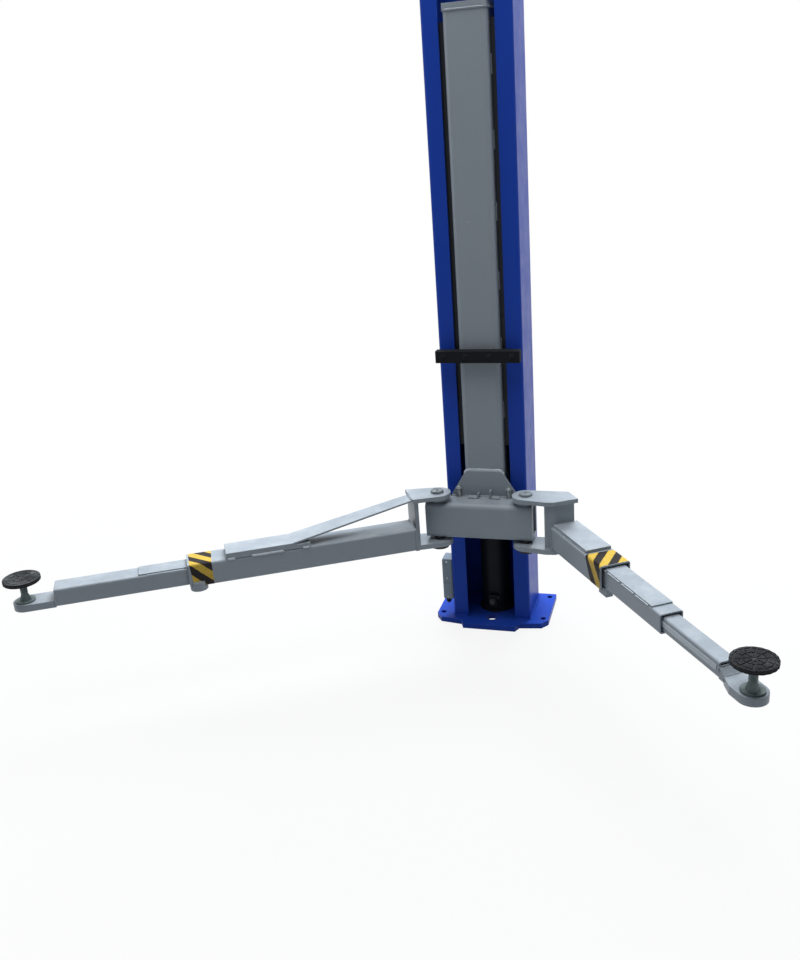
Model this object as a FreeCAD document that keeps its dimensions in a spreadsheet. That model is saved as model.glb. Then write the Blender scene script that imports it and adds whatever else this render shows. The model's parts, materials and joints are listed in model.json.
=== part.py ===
import FreeCAD, Part
import Sketcher
import math
import os

os.makedirs("parts", exist_ok=True)
doc = FreeCAD.newDocument("lift_post")

# Sizes of the post in millimetres, arm directions in degrees
numbers = {
    "plateHalf": 212, "plateBack": 115, "plateThick": 20, "wingFront": 100, "wingSkew": 130,
    "wingInner": 110, "wingStep": 142, "tongueHalf": 98, "tongueFront": 170, "tongueHoleY": 103,
    "tongueHoleR": 22.5, "anchorSide": 22, "anchorBack": 26, "anchorFront": 11, "anchorR": 10,
    "postHalf": 145, "postFront": 109, "postWall": 6, "lipGap": 19, "postHeight": 3580, "postBend": 10,
    "capSide": 20, "capFront": 16, "capThick": 12, "capHoleSide": 10, "capHoleIn": 25, "capHoleR": 7,
    "mastHalf": 70, "mastFront": 133, "mastBack": 70, "mastBottom": 391, "mastTop": 2110, "mastWall": 8,
    "mastBend": 18, "headThick": 20,
    "ramY": 0, "barrelR": 54, "boreR": 46, "barrelFoot": 52, "footR": 62, "footThick": 12, "barrelTop": 1770,
    "glandTop": 1808, "glandR": 57, "rodR": 28, "pistonLow": 365, "pistonTall": 60, "pistonFit": 0.1,
    "rodFit": 0.08,
    "boxWide": 37, "boxFront": 104, "boxBack": 44, "boxLow": 85, "boxHigh": 248, "boxBend": 5,
    "yokeHalf": 190, "yokeShift": 8, "yokeFront": 229, "yokeBottom": 391, "yokeTop": 523, "yokeWall": 10, "yokeBend": 18,
    "pivotX": 158, "pivotY": 200, "bushR": 23.5, "pinR": 18, "pinFit": 0.05,
    "gussetTop": 618, "gussetTopHalf": 60, "gussetShoulder": 606, "gussetWide": 72, "gussetFoot": 122,
    "gussetThick": 10,
    "barLow": 1016, "barHigh": 1056, "barFront": 168, "barBend": 4,
    "slideGap": 1, "frontGap": 1.5, "blockThick": 28, "blockLap": 9.5, "wingLow": 700, "wingHigh": 2080,
    "wingWall": 6, "blockTall": 150, "blockUpLow": 1920, "blockDownLow": 710,
    "plateLow": 541, "plateUp": 15, "bossTall": 5, "bossR": 46, "padPlateLow": 362, "padPlateUp": 18, "pinHead": 23, "pinHeadUp": 6,
    "discR": 32, "discUp": 14, "discGap": 1, "pinFace": 0.3,
    "lockX": 90, "lockY": 150, "lockR": 6, "lockFit": 0.02, "lockLow": 500, "lockHigh": 563,
    "armRound": 48, "tubeWall": 5, "tubeBend": 8, "tubeLow": 380, "tubeHigh": 462, "tubeWide": 104,
    "leftAngle": 209.5, "leftPlateEnd": 100, "leftPlateBack": 72, "leftPlateFront": 40,
    "leftHeadStart": 80, "leftHeadLong": 15, "headInset": 4, "leftTubeY": 32.7, "leftTubeEnd": 897,
    "headWall": 10, "endPlate": 12, "endBevelFoot": 410, "endBevelTop": 2,
    "braceBack": 36, "braceFront": 28, "braceThick": 6, "braceTop": 550, "braceFoot": 540, "braceEnd": 765,
    "braceBevel": 2, "braceWide": 90, "packThick": 15, "packStart": 478,
    "stageWide": 82, "stageTall": 61, "seat": 0.3, "stageWall": 4.5, "stageBend": 7,
    "leftStageStart": 705, "leftStageEnd": 1334, "leftStripStart": 722, "leftStripEnd": 1059,
    "stripThick": 4, "stripWide": 68,
    "tipLow": 384, "tipThick": 24, "tipRound": 41, "tipBore": 24, "tipFlare": 42,
    "leftTipReach": 97, "leftPadTop": 492,
    "leftLugR": 30, "leftLugDrop": 15, "leftLugRise": 15, "leftLugOut": 9,
    "rightLugLong": 47, "rightLugDrop": 28, "rightLugIn": 20, "rightLugWide": 24,
    "rightAngle": 56.4, "rightTubeY": 99.5, "rightPlateEnd": 112, "rightPlateSide": 143, "rightNeckTurn": 44,
    "rightWaistX": 93, "rightWaistY": 28, "rightHipX": 108, "rightHipY": 56, "rightHeelTurn": 146.4,
    "rightCheek": 36.7, "rightCheekLean": 29.4, "rightBendY": 62, "rightTail": 38,
    "rightTubeStart": 100, "rightTubeEnd": 447, "rightStripEnd": 339, "rightStripWide": 88, "rightHeadSet": 9, "coverThick": 10,
    "midWide": 74, "midTall": 62, "midStart": 350, "midEnd": 770, "midStripStart": 368, "midStripEnd": 720,
    "thirdWide": 54.6, "thirdTall": 47.5, "thirdWall": 5, "thirdStart": 678, "thirdEnd": 1040,
    "shoulderLong": 22, "shoulderNose": 4, "shoulderDrop": 12, "rightTipReach": 82, "rightPadTop": 500,
    "padR": 61, "padThick": 10, "padSteelR": 51, "padSteel": 4, "stemR": 11, "coneR": 19, "coneHigh": 26,
    "collarR": 32, "collarThick": 4, "spigotFit": 0.05, "spigotLift": 2, "deckGap": 0.3,
}

sheet = doc.addObject("Spreadsheet::Sheet", "Sizes")
for row, (word, number) in enumerate(numbers.items(), start=1):
    sheet.set("A%d" % row, word)
    sheet.set("B%d" % row, str(number))
    sheet.setAlias("B%d" % row, word)
doc.recompute()


class Size:
    def __init__(self, text, value):
        self.text = text
        self.value = value

    def join(self, other, sign, value):
        right = other.text if isinstance(other, Size) else repr(other)
        return Size("(%s %s %s)" % (self.text, sign, right), value)

    def __add__(self, other):
        return self.join(other, "+", self.value + number(other))

    def __sub__(self, other):
        return self.join(other, "-", self.value - number(other))

    def __mul__(self, other):
        return self.join(other, "*", self.value * number(other))

    def __truediv__(self, other):
        return self.join(other, "/", self.value / number(other))

    def __neg__(self):
        return Size("(-%s)" % self.text, -self.value)


def number(item):
    return item.value if isinstance(item, Size) else item


def text(item):
    return item.text if isinstance(item, Size) else repr(item)


def size(word):
    return Size("Sizes.%s" % word, numbers[word])


def cosine(angle):
    return Size("cos(%s * 1 deg)" % angle.text, math.cos(math.radians(angle.value)))


def sine(angle):
    return Size("sin(%s * 1 deg)" % angle.text, math.sin(math.radians(angle.value)))


def tangent(angle):
    return Size("tan(%s * 1 deg)" % angle.text, math.tan(math.radians(angle.value)))


def times(a, b):
    return Size("(%s * %s)" % (a.text, b.text), a.value * b.value)


def newBody(label):
    body = doc.addObject("PartDesign::Body", label)
    body.Label = label
    return body


def originPlane(body, role):
    for feature in body.Origin.OriginFeatures:
        if feature.Role == role:
            return feature


def newSketch(body, name, role, lift):
    sketch = body.newObject("Sketcher::SketchObject", name)
    sketch.AttachmentSupport = [(originPlane(body, role), "")]
    sketch.MapMode = "FlatFace"
    sketch.setExpression("AttachmentOffset.Base.z", text(lift))
    return sketch


def bind(sketch, kind, first, place, value):
    index = sketch.addConstraint(Sketcher.Constraint(kind, -1, 1, first, place, float(number(value))))
    sketch.setExpression("Constraints[%d]" % index, text(value))


# Closed outline through corners, each corner held by its two distances from the origin
def addOutline(sketch, corners):
    start = sketch.GeometryCount
    count = len(corners)
    spots = [FreeCAD.Vector(number(x), number(y), 0) for x, y in corners]
    for i in range(count):
        sketch.addGeometry(Part.LineSegment(spots[i], spots[(i + 1) % count]), False)
    for i in range(count):
        after = start + (i + 1) % count
        sketch.addConstraint(Sketcher.Constraint("Coincident", start + i, 2, after, 1))
    for i, (x, y) in enumerate(corners):
        bind(sketch, "DistanceX", start + i, 1, x)
        bind(sketch, "DistanceY", start + i, 1, y)


def addCircle(sketch, x, y, radius):
    middle = FreeCAD.Vector(number(x), number(y), 0)
    index = sketch.addGeometry(Part.Circle(middle, FreeCAD.Vector(0, 0, 1), number(radius)), False)
    bind(sketch, "DistanceX", index, 3, x)
    bind(sketch, "DistanceY", index, 3, y)
    rule = sketch.addConstraint(Sketcher.Constraint("Radius", index, float(number(radius))))
    sketch.setExpression("Constraints[%d]" % rule, text(radius))


def addPad(body, sketch, length):
    sketch.Visibility = False
    pad = body.newObject("PartDesign::Pad", sketch.Name + "Pad")
    pad.Profile = sketch
    pad.setExpression("Length", text(length))
    body.Tip = pad
    return pad


def addPocket(body, sketch, length):
    sketch.Visibility = False
    before = body.Shape.Volume
    pocket = body.newObject("PartDesign::Pocket", sketch.Name + "Cut")
    pocket.Profile = sketch
    pocket.setExpression("Length", text(length))
    body.Tip = pocket
    doc.recompute()
    if body.Shape.Volume > before - 1:
        pocket.Reversed = True
        doc.recompute()
    return pocket


# Long edges along one axis whose other two coordinates pass the test are rounded
def roundEdges(body, axis, radius, wanted):
    doc.recompute()
    tip = body.Tip
    names = []
    for i, edge in enumerate(tip.Shape.Edges, start=1):
        ends = [v.Point for v in edge.Vertexes]
        if len(ends) != 2:
            continue
        run = ends[1] - ends[0]
        along = abs(run[axis])
        if along < 0.999 * run.Length or run.Length < 1:
            continue
        spot = [ends[0][k] for k in range(3) if k != axis]
        if wanted(spot[0], spot[1]):
            names.append("Edge%d" % i)
    fillet = body.newObject("PartDesign::Fillet", body.Name + "Round%d" % len(body.Group))
    fillet.Base = (tip, names)
    fillet.setExpression("Radius", text(radius))
    body.Tip = fillet
    doc.recompute()
    return fillet


def place(thing, x, y, angle=None):
    thing.setExpression("Placement.Base.x", text(x))
    thing.setExpression("Placement.Base.y", text(y))
    if angle is not None:
        thing.Placement.Rotation = FreeCAD.Rotation(FreeCAD.Vector(0, 0, 1), number(angle))
        thing.setExpression("Placement.Rotation.Angle", text(angle))


# Flat plate cut from an outline, with round ends joined on and round holes through
def flatPlate(label, low, thick, corners, ends=(), holes=(), role="XY_Plane"):
    body = newBody(label)
    sketch = newSketch(body, label + "Outline", role, low)
    addOutline(sketch, corners)
    addPad(body, sketch, thick)
    for i, (x, y, radius) in enumerate(ends):
        disc = newSketch(body, label + "End%d" % i, role, low)
        addCircle(disc, x, y, radius)
        addPad(body, disc, thick)
    if holes:
        doc.recompute()
        drill = newSketch(body, label + "Holes", role, low)
        for x, y, radius in holes:
            addCircle(drill, x, y, radius)
        addPocket(body, drill, thick)
    doc.recompute()
    return body


# Rectangular hollow section with bent corners, drawn across and padded along its run
def hollowSection(label, role, start, run, box, wall, bend):
    left, low, right, high = box
    body = newBody(label)
    sketch = newSketch(body, label + "Section", role, start)
    addOutline(sketch, [(left, low), (right, low), (right, high), (left, high)])
    addOutline(sketch, [(left + wall, low + wall), (right - wall, low + wall),
                        (right - wall, high - wall), (left + wall, high - wall)])
    addPad(body, sketch, run)
    axis = {"YZ_Plane": 0, "XY_Plane": 2}[role]
    outer = [(number(a), number(b)) for a in (left, right) for b in (low, high)]

    def onOuter(a, b):
        return any(abs(a - p) < 0.01 and abs(b - q) < 0.01 for p, q in outer)

    roundEdges(body, axis, bend, onOuter)
    return body


# Turned piece: half section in radius and height, revolved about the upright axis
def turned(label, corners):
    body = newBody(label)
    sketch = newSketch(body, label + "Profile", "XZ_Plane", 0)
    addOutline(sketch, corners)
    turn = body.newObject("PartDesign::Revolution", label + "Turn")
    turn.Profile = sketch
    turn.ReferenceAxis = (sketch, ["V_Axis"])
    turn.Angle = 360
    sketch.Visibility = False
    body.Tip = turn
    doc.recompute()
    return body


s = size

# Foot plate with its front tongue and anchor holes
anchorX = s("plateHalf") - s("anchorSide")
anchorBackY = s("plateBack") - s("anchorBack")
anchorFrontY = s("wingFront") - s("anchorFront")
flatPlate("base_plate", 0, s("plateThick"), [
    (-s("plateHalf"), s("plateBack")), (-s("plateHalf"), -s("wingFront")),
    (-anchorX, -s("wingSkew")), (-s("wingInner"), -s("wingStep")),
    (-s("tongueHalf"), -s("tongueFront")), (s("tongueHalf"), -s("tongueFront")),
    (s("wingInner"), -s("wingStep")), (anchorX, -s("wingSkew")),
    (s("plateHalf"), -s("wingFront")), (s("plateHalf"), s("plateBack"))],
    holes=[(0, -s("tongueHoleY"), s("tongueHoleR")),
           (-anchorX, anchorBackY, s("anchorR")), (anchorX, anchorBackY, s("anchorR")),
           (-anchorX, -anchorFrontY, s("anchorR")), (anchorX, -anchorFrontY, s("anchorR"))])

# Post: folded channel, open to the front between two lips
post = newBody("column_post")
section = newSketch(post, "postSection", "XY_Plane", s("plateThick"))
hx, fy, w = s("postHalf"), s("postFront"), s("postWall")
lipX = s("mastHalf") + s("lipGap")
addOutline(section, [
    (-lipX, -fy), (-lipX, -fy + w), (-hx + w, -fy + w), (-hx + w, fy - w),
    (hx - w, fy - w), (hx - w, -fy + w), (lipX, -fy + w), (lipX, -fy),
    (hx, -fy), (hx, fy), (-hx, fy), (-hx, -fy)])
addPad(post, section, s("postHeight"))
roundEdges(post, 2, s("postBend"),
           lambda a, b: abs(abs(a) - numbers["postHalf"]) < 0.01 and abs(abs(b) - numbers["postFront"]) < 0.01)
innerX = numbers["postHalf"] - numbers["postWall"]
innerY = numbers["postFront"] - numbers["postWall"]
roundEdges(post, 2, s("postBend") - s("postWall"),
           lambda a, b: abs(abs(a) - innerX) < 0.01 and abs(abs(b) - innerY) < 0.01)

capX, capY = hx + s("capSide"), fy + s("capFront")
capHoleX, capHoleY = capX - s("capHoleSide"), capY - s("capHoleIn")
flatPlate("column_top_plate", s("plateThick") + s("postHeight"), s("capThick"), [
    (-capX, -capY), (capX, -capY), (capX, capY), (-capX, capY)],
    holes=[(-capHoleX, capHoleY, s("capHoleR")), (capHoleX, capHoleY, s("capHoleR")),
           (-capHoleX, -capHoleY, s("capHoleR")), (capHoleX, -capHoleY, s("capHoleR"))])

# Hydraulic ram standing on the foot plate inside the post
barrel = turned("cylinder_barrel", [
    (0, s("plateThick")), (s("footR"), s("plateThick")), (s("footR"), s("plateThick") + s("footThick")),
    (s("barrelR"), s("plateThick") + s("footThick")), (s("barrelR"), s("barrelTop")),
    (s("boreR"), s("barrelTop")), (s("boreR"), s("barrelFoot")), (0, s("barrelFoot"))])
place(barrel, 0, -s("ramY"))
gland = turned("cylinder_gland", [
    (s("rodR") + s("rodFit"), s("barrelTop")), (s("glandR"), s("barrelTop")), (s("glandR"), s("glandTop")),
    (s("rodR") + s("rodFit"), s("glandTop"))])
place(gland, 0, -s("ramY"))
rod = turned("cylinder_rod", [
    (0, s("pistonLow")), (s("boreR") - s("pistonFit"), s("pistonLow")),
    (s("boreR") - s("pistonFit"), s("pistonLow") + s("pistonTall")),
    (s("rodR"), s("pistonLow") + s("pistonTall")), (s("rodR"), s("mastTop")), (0, s("mastTop"))])
place(rod, 0, -s("ramY"))

# Closed box on the left side of the post
boxX = hx + s("boxWide")
sideBox = flatPlate("side_box", s("boxLow"), s("boxHigh") - s("boxLow"), [
    (-boxX, -s("boxFront")), (-hx, -s("boxFront")), (-hx, -s("boxBack")), (-boxX, -s("boxBack"))])
roundEdges(sideBox, 2, s("boxBend"), lambda a, b: abs(a + boxX.value) < 0.01)

# Carriage: upright mast, head, yoke across its front, gusset and bumper bar
hollowSection("carriage_mast", "XY_Plane", s("mastBottom"), s("mastTop") - s("mastBottom"),
              (-s("mastHalf"), -s("mastFront"), s("mastHalf"), s("mastBack")), s("mastWall"), s("mastBend"))
flatPlate("carriage_head", s("mastTop"), s("headThick"), [
    (-s("mastHalf"), -s("mastFront")), (s("mastHalf"), -s("mastFront")),
    (s("mastHalf"), s("mastBack")), (-s("mastHalf"), s("mastBack"))])

yoke = hollowSection("carriage_yoke", "YZ_Plane", -s("yokeHalf") - s("yokeShift"), s("yokeHalf") * 2,
                     (-s("yokeFront"), s("yokeBottom"), -s("mastFront"), s("yokeTop")),
                     s("yokeWall"), s("yokeBend"))
bushes = newSketch(yoke, "yokeBushes", "XY_Plane", s("yokeBottom") + s("yokeWall"))
for side in (-1, 1):
    addCircle(bushes, s("pivotX") * side, -s("pivotY"), s("bushR"))
addPad(yoke, bushes, s("yokeTop") - s("yokeBottom") - s("yokeWall") * 2)
bores = newSketch(yoke, "yokeBores", "XY_Plane", s("yokeBottom"))
for side in (-1, 1):
    addCircle(bores, s("pivotX") * side, -s("pivotY"), s("pinR") + s("pinFit"))
    addCircle(bores, s("lockX") * side, -s("lockY"), s("lockR") + s("lockFit"))
addPocket(yoke, bores, s("yokeTop") - s("yokeBottom"))

flatPlate("yoke_gusset", s("mastFront"), s("gussetThick"), [
    (-s("gussetFoot"), s("yokeTop")), (s("gussetFoot"), s("yokeTop")), (s("gussetWide"), s("gussetShoulder")),
    (s("gussetTopHalf"), s("gussetTop")), (-s("gussetTopHalf"), s("gussetTop")),
    (-s("gussetWide"), s("gussetShoulder"))], role="XZ_Plane")

bar = flatPlate("bumper_bar", s("barLow"), s("barHigh") - s("barLow"), [
    (-hx, -s("barFront")), (hx, -s("barFront")), (hx, -s("mastFront")), (-hx, -s("mastFront"))])
roundEdges(bar, 2, s("barBend"), lambda a, b: abs(b + numbers["barFront"]) < 0.01)

blockOut = hx - s("postWall") - s("slideGap")
blockDeep = fy - s("postWall") - s("frontGap")
for word, side in (("left", -1), ("right", 1)):
    near = s("mastHalf") * side
    far = (blockOut - s("blockThick")) * side
    inner = far - s("wingWall") * side
    deep = blockDeep - s("blockLap")
    wall = s("wingWall")
    wing = newBody("guide_wing_" + word)
    shape = newSketch(wing, "wing%sOutline" % word, "XY_Plane", s("wingLow"))
    addOutline(shape, [
        (near, -deep), (far, -deep), (far, deep), (near, deep), (near, deep - wall),
        (inner, deep - wall), (inner, -deep + wall), (near, -deep + wall)])
    addPad(wing, shape, s("wingHigh") - s("wingLow"))
    doc.recompute()
    for level, low in (("lower", s("blockDownLow")), ("upper", s("blockUpLow"))):
        flatPlate("slide_block_%s_%s" % (level, word), low, s("blockTall"), [
            (far, -blockDeep), (blockOut * side, -blockDeep), (blockOut * side, blockDeep), (far, blockDeep)])
    head = s("plateLow") + s("plateUp") + s("pinFace")
    disc = s("padPlateLow") - s("discGap")
    pin = turned("pivot_pin_" + word, [
        (0, disc - s("discUp")), (s("discR"), disc - s("discUp")), (s("discR"), disc), (s("pinR"), disc),
        (s("pinR"), head), (s("pinHead"), head), (s("pinHead"), head + s("pinHeadUp")),
        (0, head + s("pinHeadUp"))])
    place(pin, s("pivotX") * side, -s("pivotY"))
    lock = turned("lock_rod_" + word, [
        (0, s("lockLow")), (s("lockR"), s("lockLow")), (s("lockR"), s("lockHigh")), (0, s("lockHigh"))])
    place(lock, s("lockX") * side, -s("lockY"))


# Raised ring under the eye of an upper plate, bored with it
def addBoss(plate, label):
    low = s("plateLow") - s("bossTall")
    ring = newSketch(plate, label + "Boss", "XY_Plane", low)
    addCircle(ring, 0, 0, s("bossR"))
    addPad(plate, ring, s("bossTall"))
    doc.recompute()
    bore = newSketch(plate, label + "Bore", "XY_Plane", low)
    addCircle(bore, 0, 0, s("pinR") + s("pinFit"))
    addPocket(plate, bore, s("bossTall"))


# Long left arm
leftTurn = s("leftAngle")
leftX, leftY = -s("pivotX"), -s("pivotY")
leftCorners = [(0, -s("armRound")), (s("leftPlateEnd"), -s("leftPlateBack")),
               (s("leftPlateEnd"), s("leftPlateFront")), (0, s("armRound"))]
pinHole = [(0, 0, s("pinR") + s("pinFit"))]
for label, low, thick in (("left_top_plate", s("plateLow"), s("plateUp")),
                          ("left_bottom_plate", s("padPlateLow"), s("padPlateUp"))):
    plate = flatPlate(label, low, thick, leftCorners, [(0, 0, s("armRound"))], pinHole)
    if label == "left_top_plate":
        addBoss(plate, label)
    place(plate, leftX, leftY, leftTurn)
headFoot = s("padPlateLow") + s("padPlateUp")
headTall = s("plateLow") - headFoot
wall = s("headWall")
inset = s("headInset")
headEnd = s("leftHeadStart") + s("leftHeadLong")
leftHead = flatPlate("left_head", headFoot, headTall, [
    (s("leftHeadStart"), -s("leftPlateBack") + inset), (headEnd, -s("leftPlateBack") + inset),
    (headEnd, s("leftPlateFront") - inset), (s("leftHeadStart"), s("leftPlateFront") - inset),
    (s("leftHeadStart"), s("leftPlateFront") - inset - wall), (headEnd - wall, s("leftPlateFront") - inset - wall),
    (headEnd - wall, -s("leftPlateBack") + inset + wall), (s("leftHeadStart"), -s("leftPlateBack") + inset + wall)])
half = s("tubeWide") / 2
tubeStart = headEnd + s("endPlate")
endFace = newSketch(leftHead, "leftEndPlate", "XZ_Plane", -s("leftTubeY") - half)
addOutline(endFace, [
    (headEnd, headFoot), (tubeStart, headFoot), (tubeStart, s("tubeHigh")),
    (tubeStart - s("endBevelTop"), s("tubeHigh")), (headEnd, s("endBevelFoot"))])
addPad(leftHead, endFace, s("tubeWide"))
place(leftHead, leftX, leftY, leftTurn)
leftTube = hollowSection("left_outer_tube", "YZ_Plane", tubeStart, s("leftTubeEnd") - tubeStart,
                         (s("leftTubeY") - half, s("tubeLow"), s("leftTubeY") + half, s("tubeHigh")),
                         s("tubeWall"), s("tubeBend"))
place(leftTube, leftX, leftY, leftTurn)
thick = s("braceThick")
tubeFront = s("leftTubeY") + half
packTop = s("tubeHigh") + s("packThick")
brace = flatPlate("left_brace", -tubeFront, tubeFront + s("braceBack"), [
    (s("leftPlateEnd"), s("braceTop") - thick), (s("leftPlateEnd"), s("braceTop")),
    (s("braceFoot") + s("braceBevel"), packTop + thick), (s("braceEnd"), packTop + thick),
    (s("braceEnd"), s("tubeHigh")), (s("packStart"), s("tubeHigh")), (s("packStart"), packTop),
    (s("braceFoot") - s("braceBevel"), packTop)], role="XZ_Plane")
sides = newSketch(brace, "leftBraceSides", "XY_Plane", s("braceTop"))
spare = s("braceThick")
addOutline(sides, [
    (s("leftPlateEnd"), s("braceFront")), (s("braceFoot"), tubeFront), (s("braceFoot"), tubeFront + spare),
    (s("leftPlateEnd") - spare, tubeFront + spare), (s("leftPlateEnd") - spare, s("braceFront"))])
backEdge = tubeFront - s("braceWide")
addOutline(sides, [
    (s("leftPlateEnd"), -s("braceBack")), (s("braceFoot"), backEdge), (s("braceEnd") + spare, backEdge),
    (s("braceEnd") + spare, -s("braceBack") - spare), (s("leftPlateEnd") - spare, -s("braceBack") - spare),
    (s("leftPlateEnd") - spare, -s("braceBack"))])
addPocket(brace, sides, s("braceTop") - packTop)
packBack = newSketch(brace, "leftPackBack", "XY_Plane", packTop)
addOutline(packBack, [
    (s("packStart") - spare, backEdge), (s("braceEnd") + spare, backEdge),
    (s("braceEnd") + spare, -s("braceBack") - spare), (s("packStart") - spare, -s("braceBack") - spare)])
addPocket(brace, packBack, s("packThick"))
place(brace, leftX, leftY, leftTurn)
lug = newBody("left_stop_lug")
disc = newSketch(lug, "leftLugDisc", "XY_Plane", s("tubeLow") - s("leftLugDrop"))
addCircle(disc, s("leftTubeEnd") - s("leftLugR"), tubeFront + s("leftLugOut") - s("leftLugR"), s("leftLugR"))
addPad(lug, disc, s("leftLugDrop") + s("leftLugRise"))
doc.recompute()
seatCut = newSketch(lug, "leftLugSeat", "XY_Plane", s("tubeLow") + s("leftLugRise"))
addOutline(seatCut, [
    (s("leftTubeEnd"), tubeFront), (s("leftTubeEnd") - s("leftLugR") * 2, tubeFront),
    (s("leftTubeEnd") - s("leftLugR") * 2, s("leftTubeY") - half), (s("leftTubeEnd"), s("leftTubeY") - half)])
addPocket(lug, seatCut, s("leftLugRise"))
place(lug, leftX, leftY, leftTurn)

stageHalf = s("stageWide") / 2
stageLow = s("tubeLow") + s("tubeWall") + s("seat")
stageHigh = stageLow + s("stageTall")
leftStage = hollowSection("left_inner_tube", "YZ_Plane", s("leftStageStart"),
                          s("leftStageEnd") - s("leftStageStart"),
                          (s("leftTubeY") - stageHalf, stageLow, s("leftTubeY") + stageHalf, stageHigh),
                          s("stageWall"), s("stageBend"))
place(leftStage, leftX, leftY, leftTurn)
stripHalf = s("stripWide") / 2


def topStrip(label, low, start, end, across, x, y, turn):
    strip = flatPlate(label, low, s("stripThick"), [
        (start, across - stripHalf), (end, across - stripHalf),
        (end, across + stripHalf), (start, across + stripHalf)])
    place(strip, x, y, turn)


topStrip("left_inner_strip", stageHigh, s("leftStripStart"), s("leftStripEnd"), s("leftTubeY"), leftX, leftY, leftTurn)


def tipPlate(label, start, neck, reach, across, x, y, turn):
    wide = s("tipRound")
    plate = flatPlate(label, s("tipLow"), s("tipThick"), [
        (start, across - neck), (start + s("tipFlare"), across - wide), (reach, across - wide),
        (reach, across + wide), (start + s("tipFlare"), across + wide), (start, across + neck)],
        [(reach, across, wide)], [(reach, across, s("tipBore"))])
    place(plate, x, y, turn)
    return plate


leftPad = s("leftStageEnd") + s("leftTipReach")
tipPlate("left_tip_plate", s("leftStageEnd"), stageHalf, leftPad, s("leftTubeY"), leftX, leftY, leftTurn)


# Short right arm, its tube set off to one side of the pivot
rightTurn = -s("rightAngle")
rightX, rightY = s("pivotX"), -s("pivotY")
neck = s("rightNeckTurn")
heel = s("rightHeelTurn")
rightCorners = [(times(s("armRound"), cosine(neck)), -times(s("armRound"), sine(neck))),
                (s("rightWaistX"), s("rightWaistY")), (s("rightHipX"), s("rightHipY")),
                (s("rightPlateEnd"), s("rightPlateSide")), (s("rightTail"), s("rightPlateSide")),
                (times(s("armRound"), cosine(heel)), times(s("armRound"), sine(heel)))]
for label, low, thickness in (("right_top_plate", s("plateLow"), s("plateUp")),
                              ("right_bottom_plate", s("padPlateLow"), s("padPlateUp"))):
    plate = flatPlate(label, low, thickness, rightCorners, [(0, 0, s("armRound"))], pinHole)
    if label == "right_top_plate":
        addBoss(plate, label)
    place(plate, rightX, rightY, rightTurn)
face = s("rightTubeStart")
side = s("rightPlateSide") - s("rightHeadSet")
lean = s("rightCheekLean")
cheekX = face - times(s("rightCheek"), sine(lean))
cheekY = s("rightBendY") - times(s("rightCheek"), cosine(lean))
rightHead = flatPlate("right_head", headFoot, headTall, [
    (cheekX, cheekY), (face, s("rightBendY")), (face, side), (s("rightTail"), side),
    (s("rightTail"), side - wall), (face - wall, side - wall),
    (face - wall, s("rightBendY") + times(wall, tangent(lean / 2))),
    (cheekX - times(wall, cosine(lean)), cheekY + times(wall, sine(lean)))])
place(rightHead, rightX, rightY, rightTurn)
rightTube = hollowSection("right_outer_tube", "YZ_Plane", s("rightTubeStart"),
                          s("rightTubeEnd") - s("rightTubeStart"),
                          (s("rightTubeY") - half, s("tubeLow"), s("rightTubeY") + half, s("tubeHigh")),
                          s("tubeWall"), s("tubeBend"))
place(rightTube, rightX, rightY, rightTurn)
coverHalf = s("rightStripWide") / 2
cover = flatPlate("right_cover_strip", s("tubeHigh"), s("coverThick"), [
    (s("rightTubeStart"), s("rightTubeY") - coverHalf), (s("rightStripEnd"), s("rightTubeY") - coverHalf),
    (s("rightStripEnd"), s("rightTubeY") + coverHalf), (s("rightTubeStart"), s("rightTubeY") + coverHalf)])
place(cover, rightX, rightY, rightTurn)
midHalf = s("midWide") / 2
midHigh = stageLow + s("midTall")
middle = hollowSection("right_middle_tube", "YZ_Plane", s("midStart"), s("midEnd") - s("midStart"),
                       (s("rightTubeY") - midHalf, stageLow, s("rightTubeY") + midHalf, midHigh),
                       s("stageWall"), s("stageBend"))
place(middle, rightX, rightY, rightTurn)
topStrip("right_middle_strip", midHigh, s("midStripStart"), s("midStripEnd"), s("rightTubeY"),
         rightX, rightY, rightTurn)
thirdHalf = s("thirdWide") / 2
thirdLow = stageLow + s("stageWall") + s("seat")
thirdHigh = thirdLow + s("thirdTall")
third = hollowSection("right_inner_tube", "YZ_Plane", s("thirdStart"), s("thirdEnd") - s("thirdStart"),
                      (s("rightTubeY") - thirdHalf, thirdLow, s("rightTubeY") + thirdHalf, thirdHigh),
                      s("thirdWall"), s("stageBend"))
place(third, rightX, rightY, rightTurn)
tipStart = s("thirdEnd") + s("shoulderLong")
rightPad = tipStart + s("rightTipReach")
rightTip = tipPlate("right_tip_plate", tipStart, thirdHalf, rightPad, s("rightTubeY"), rightX, rightY, rightTurn)
shoulder = newSketch(rightTip, "rightShoulder", "XZ_Plane", -s("rightTubeY") - thirdHalf)
addOutline(shoulder, [
    (s("thirdEnd"), thirdLow), (tipStart + s("shoulderNose"), thirdLow),
    (tipStart + s("shoulderNose"), s("tipLow") + s("tipThick")), (s("thirdEnd"), thirdHigh - s("shoulderDrop"))])
addPad(rightTip, shoulder, s("thirdWide"))
near = s("rightTubeY") - half + s("rightLugIn")
place(flatPlate("right_stop_lug", s("rightTubeEnd") - s("rightLugLong"), s("rightLugLong"), [
    (near, s("tubeLow") - s("rightLugDrop")), (near + s("rightLugWide"), s("tubeLow") - s("rightLugDrop")),
    (near + s("rightLugWide"), s("tubeLow")), (near, s("tubeLow"))], role="YZ_Plane"), rightX, rightY, rightTurn)


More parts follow.
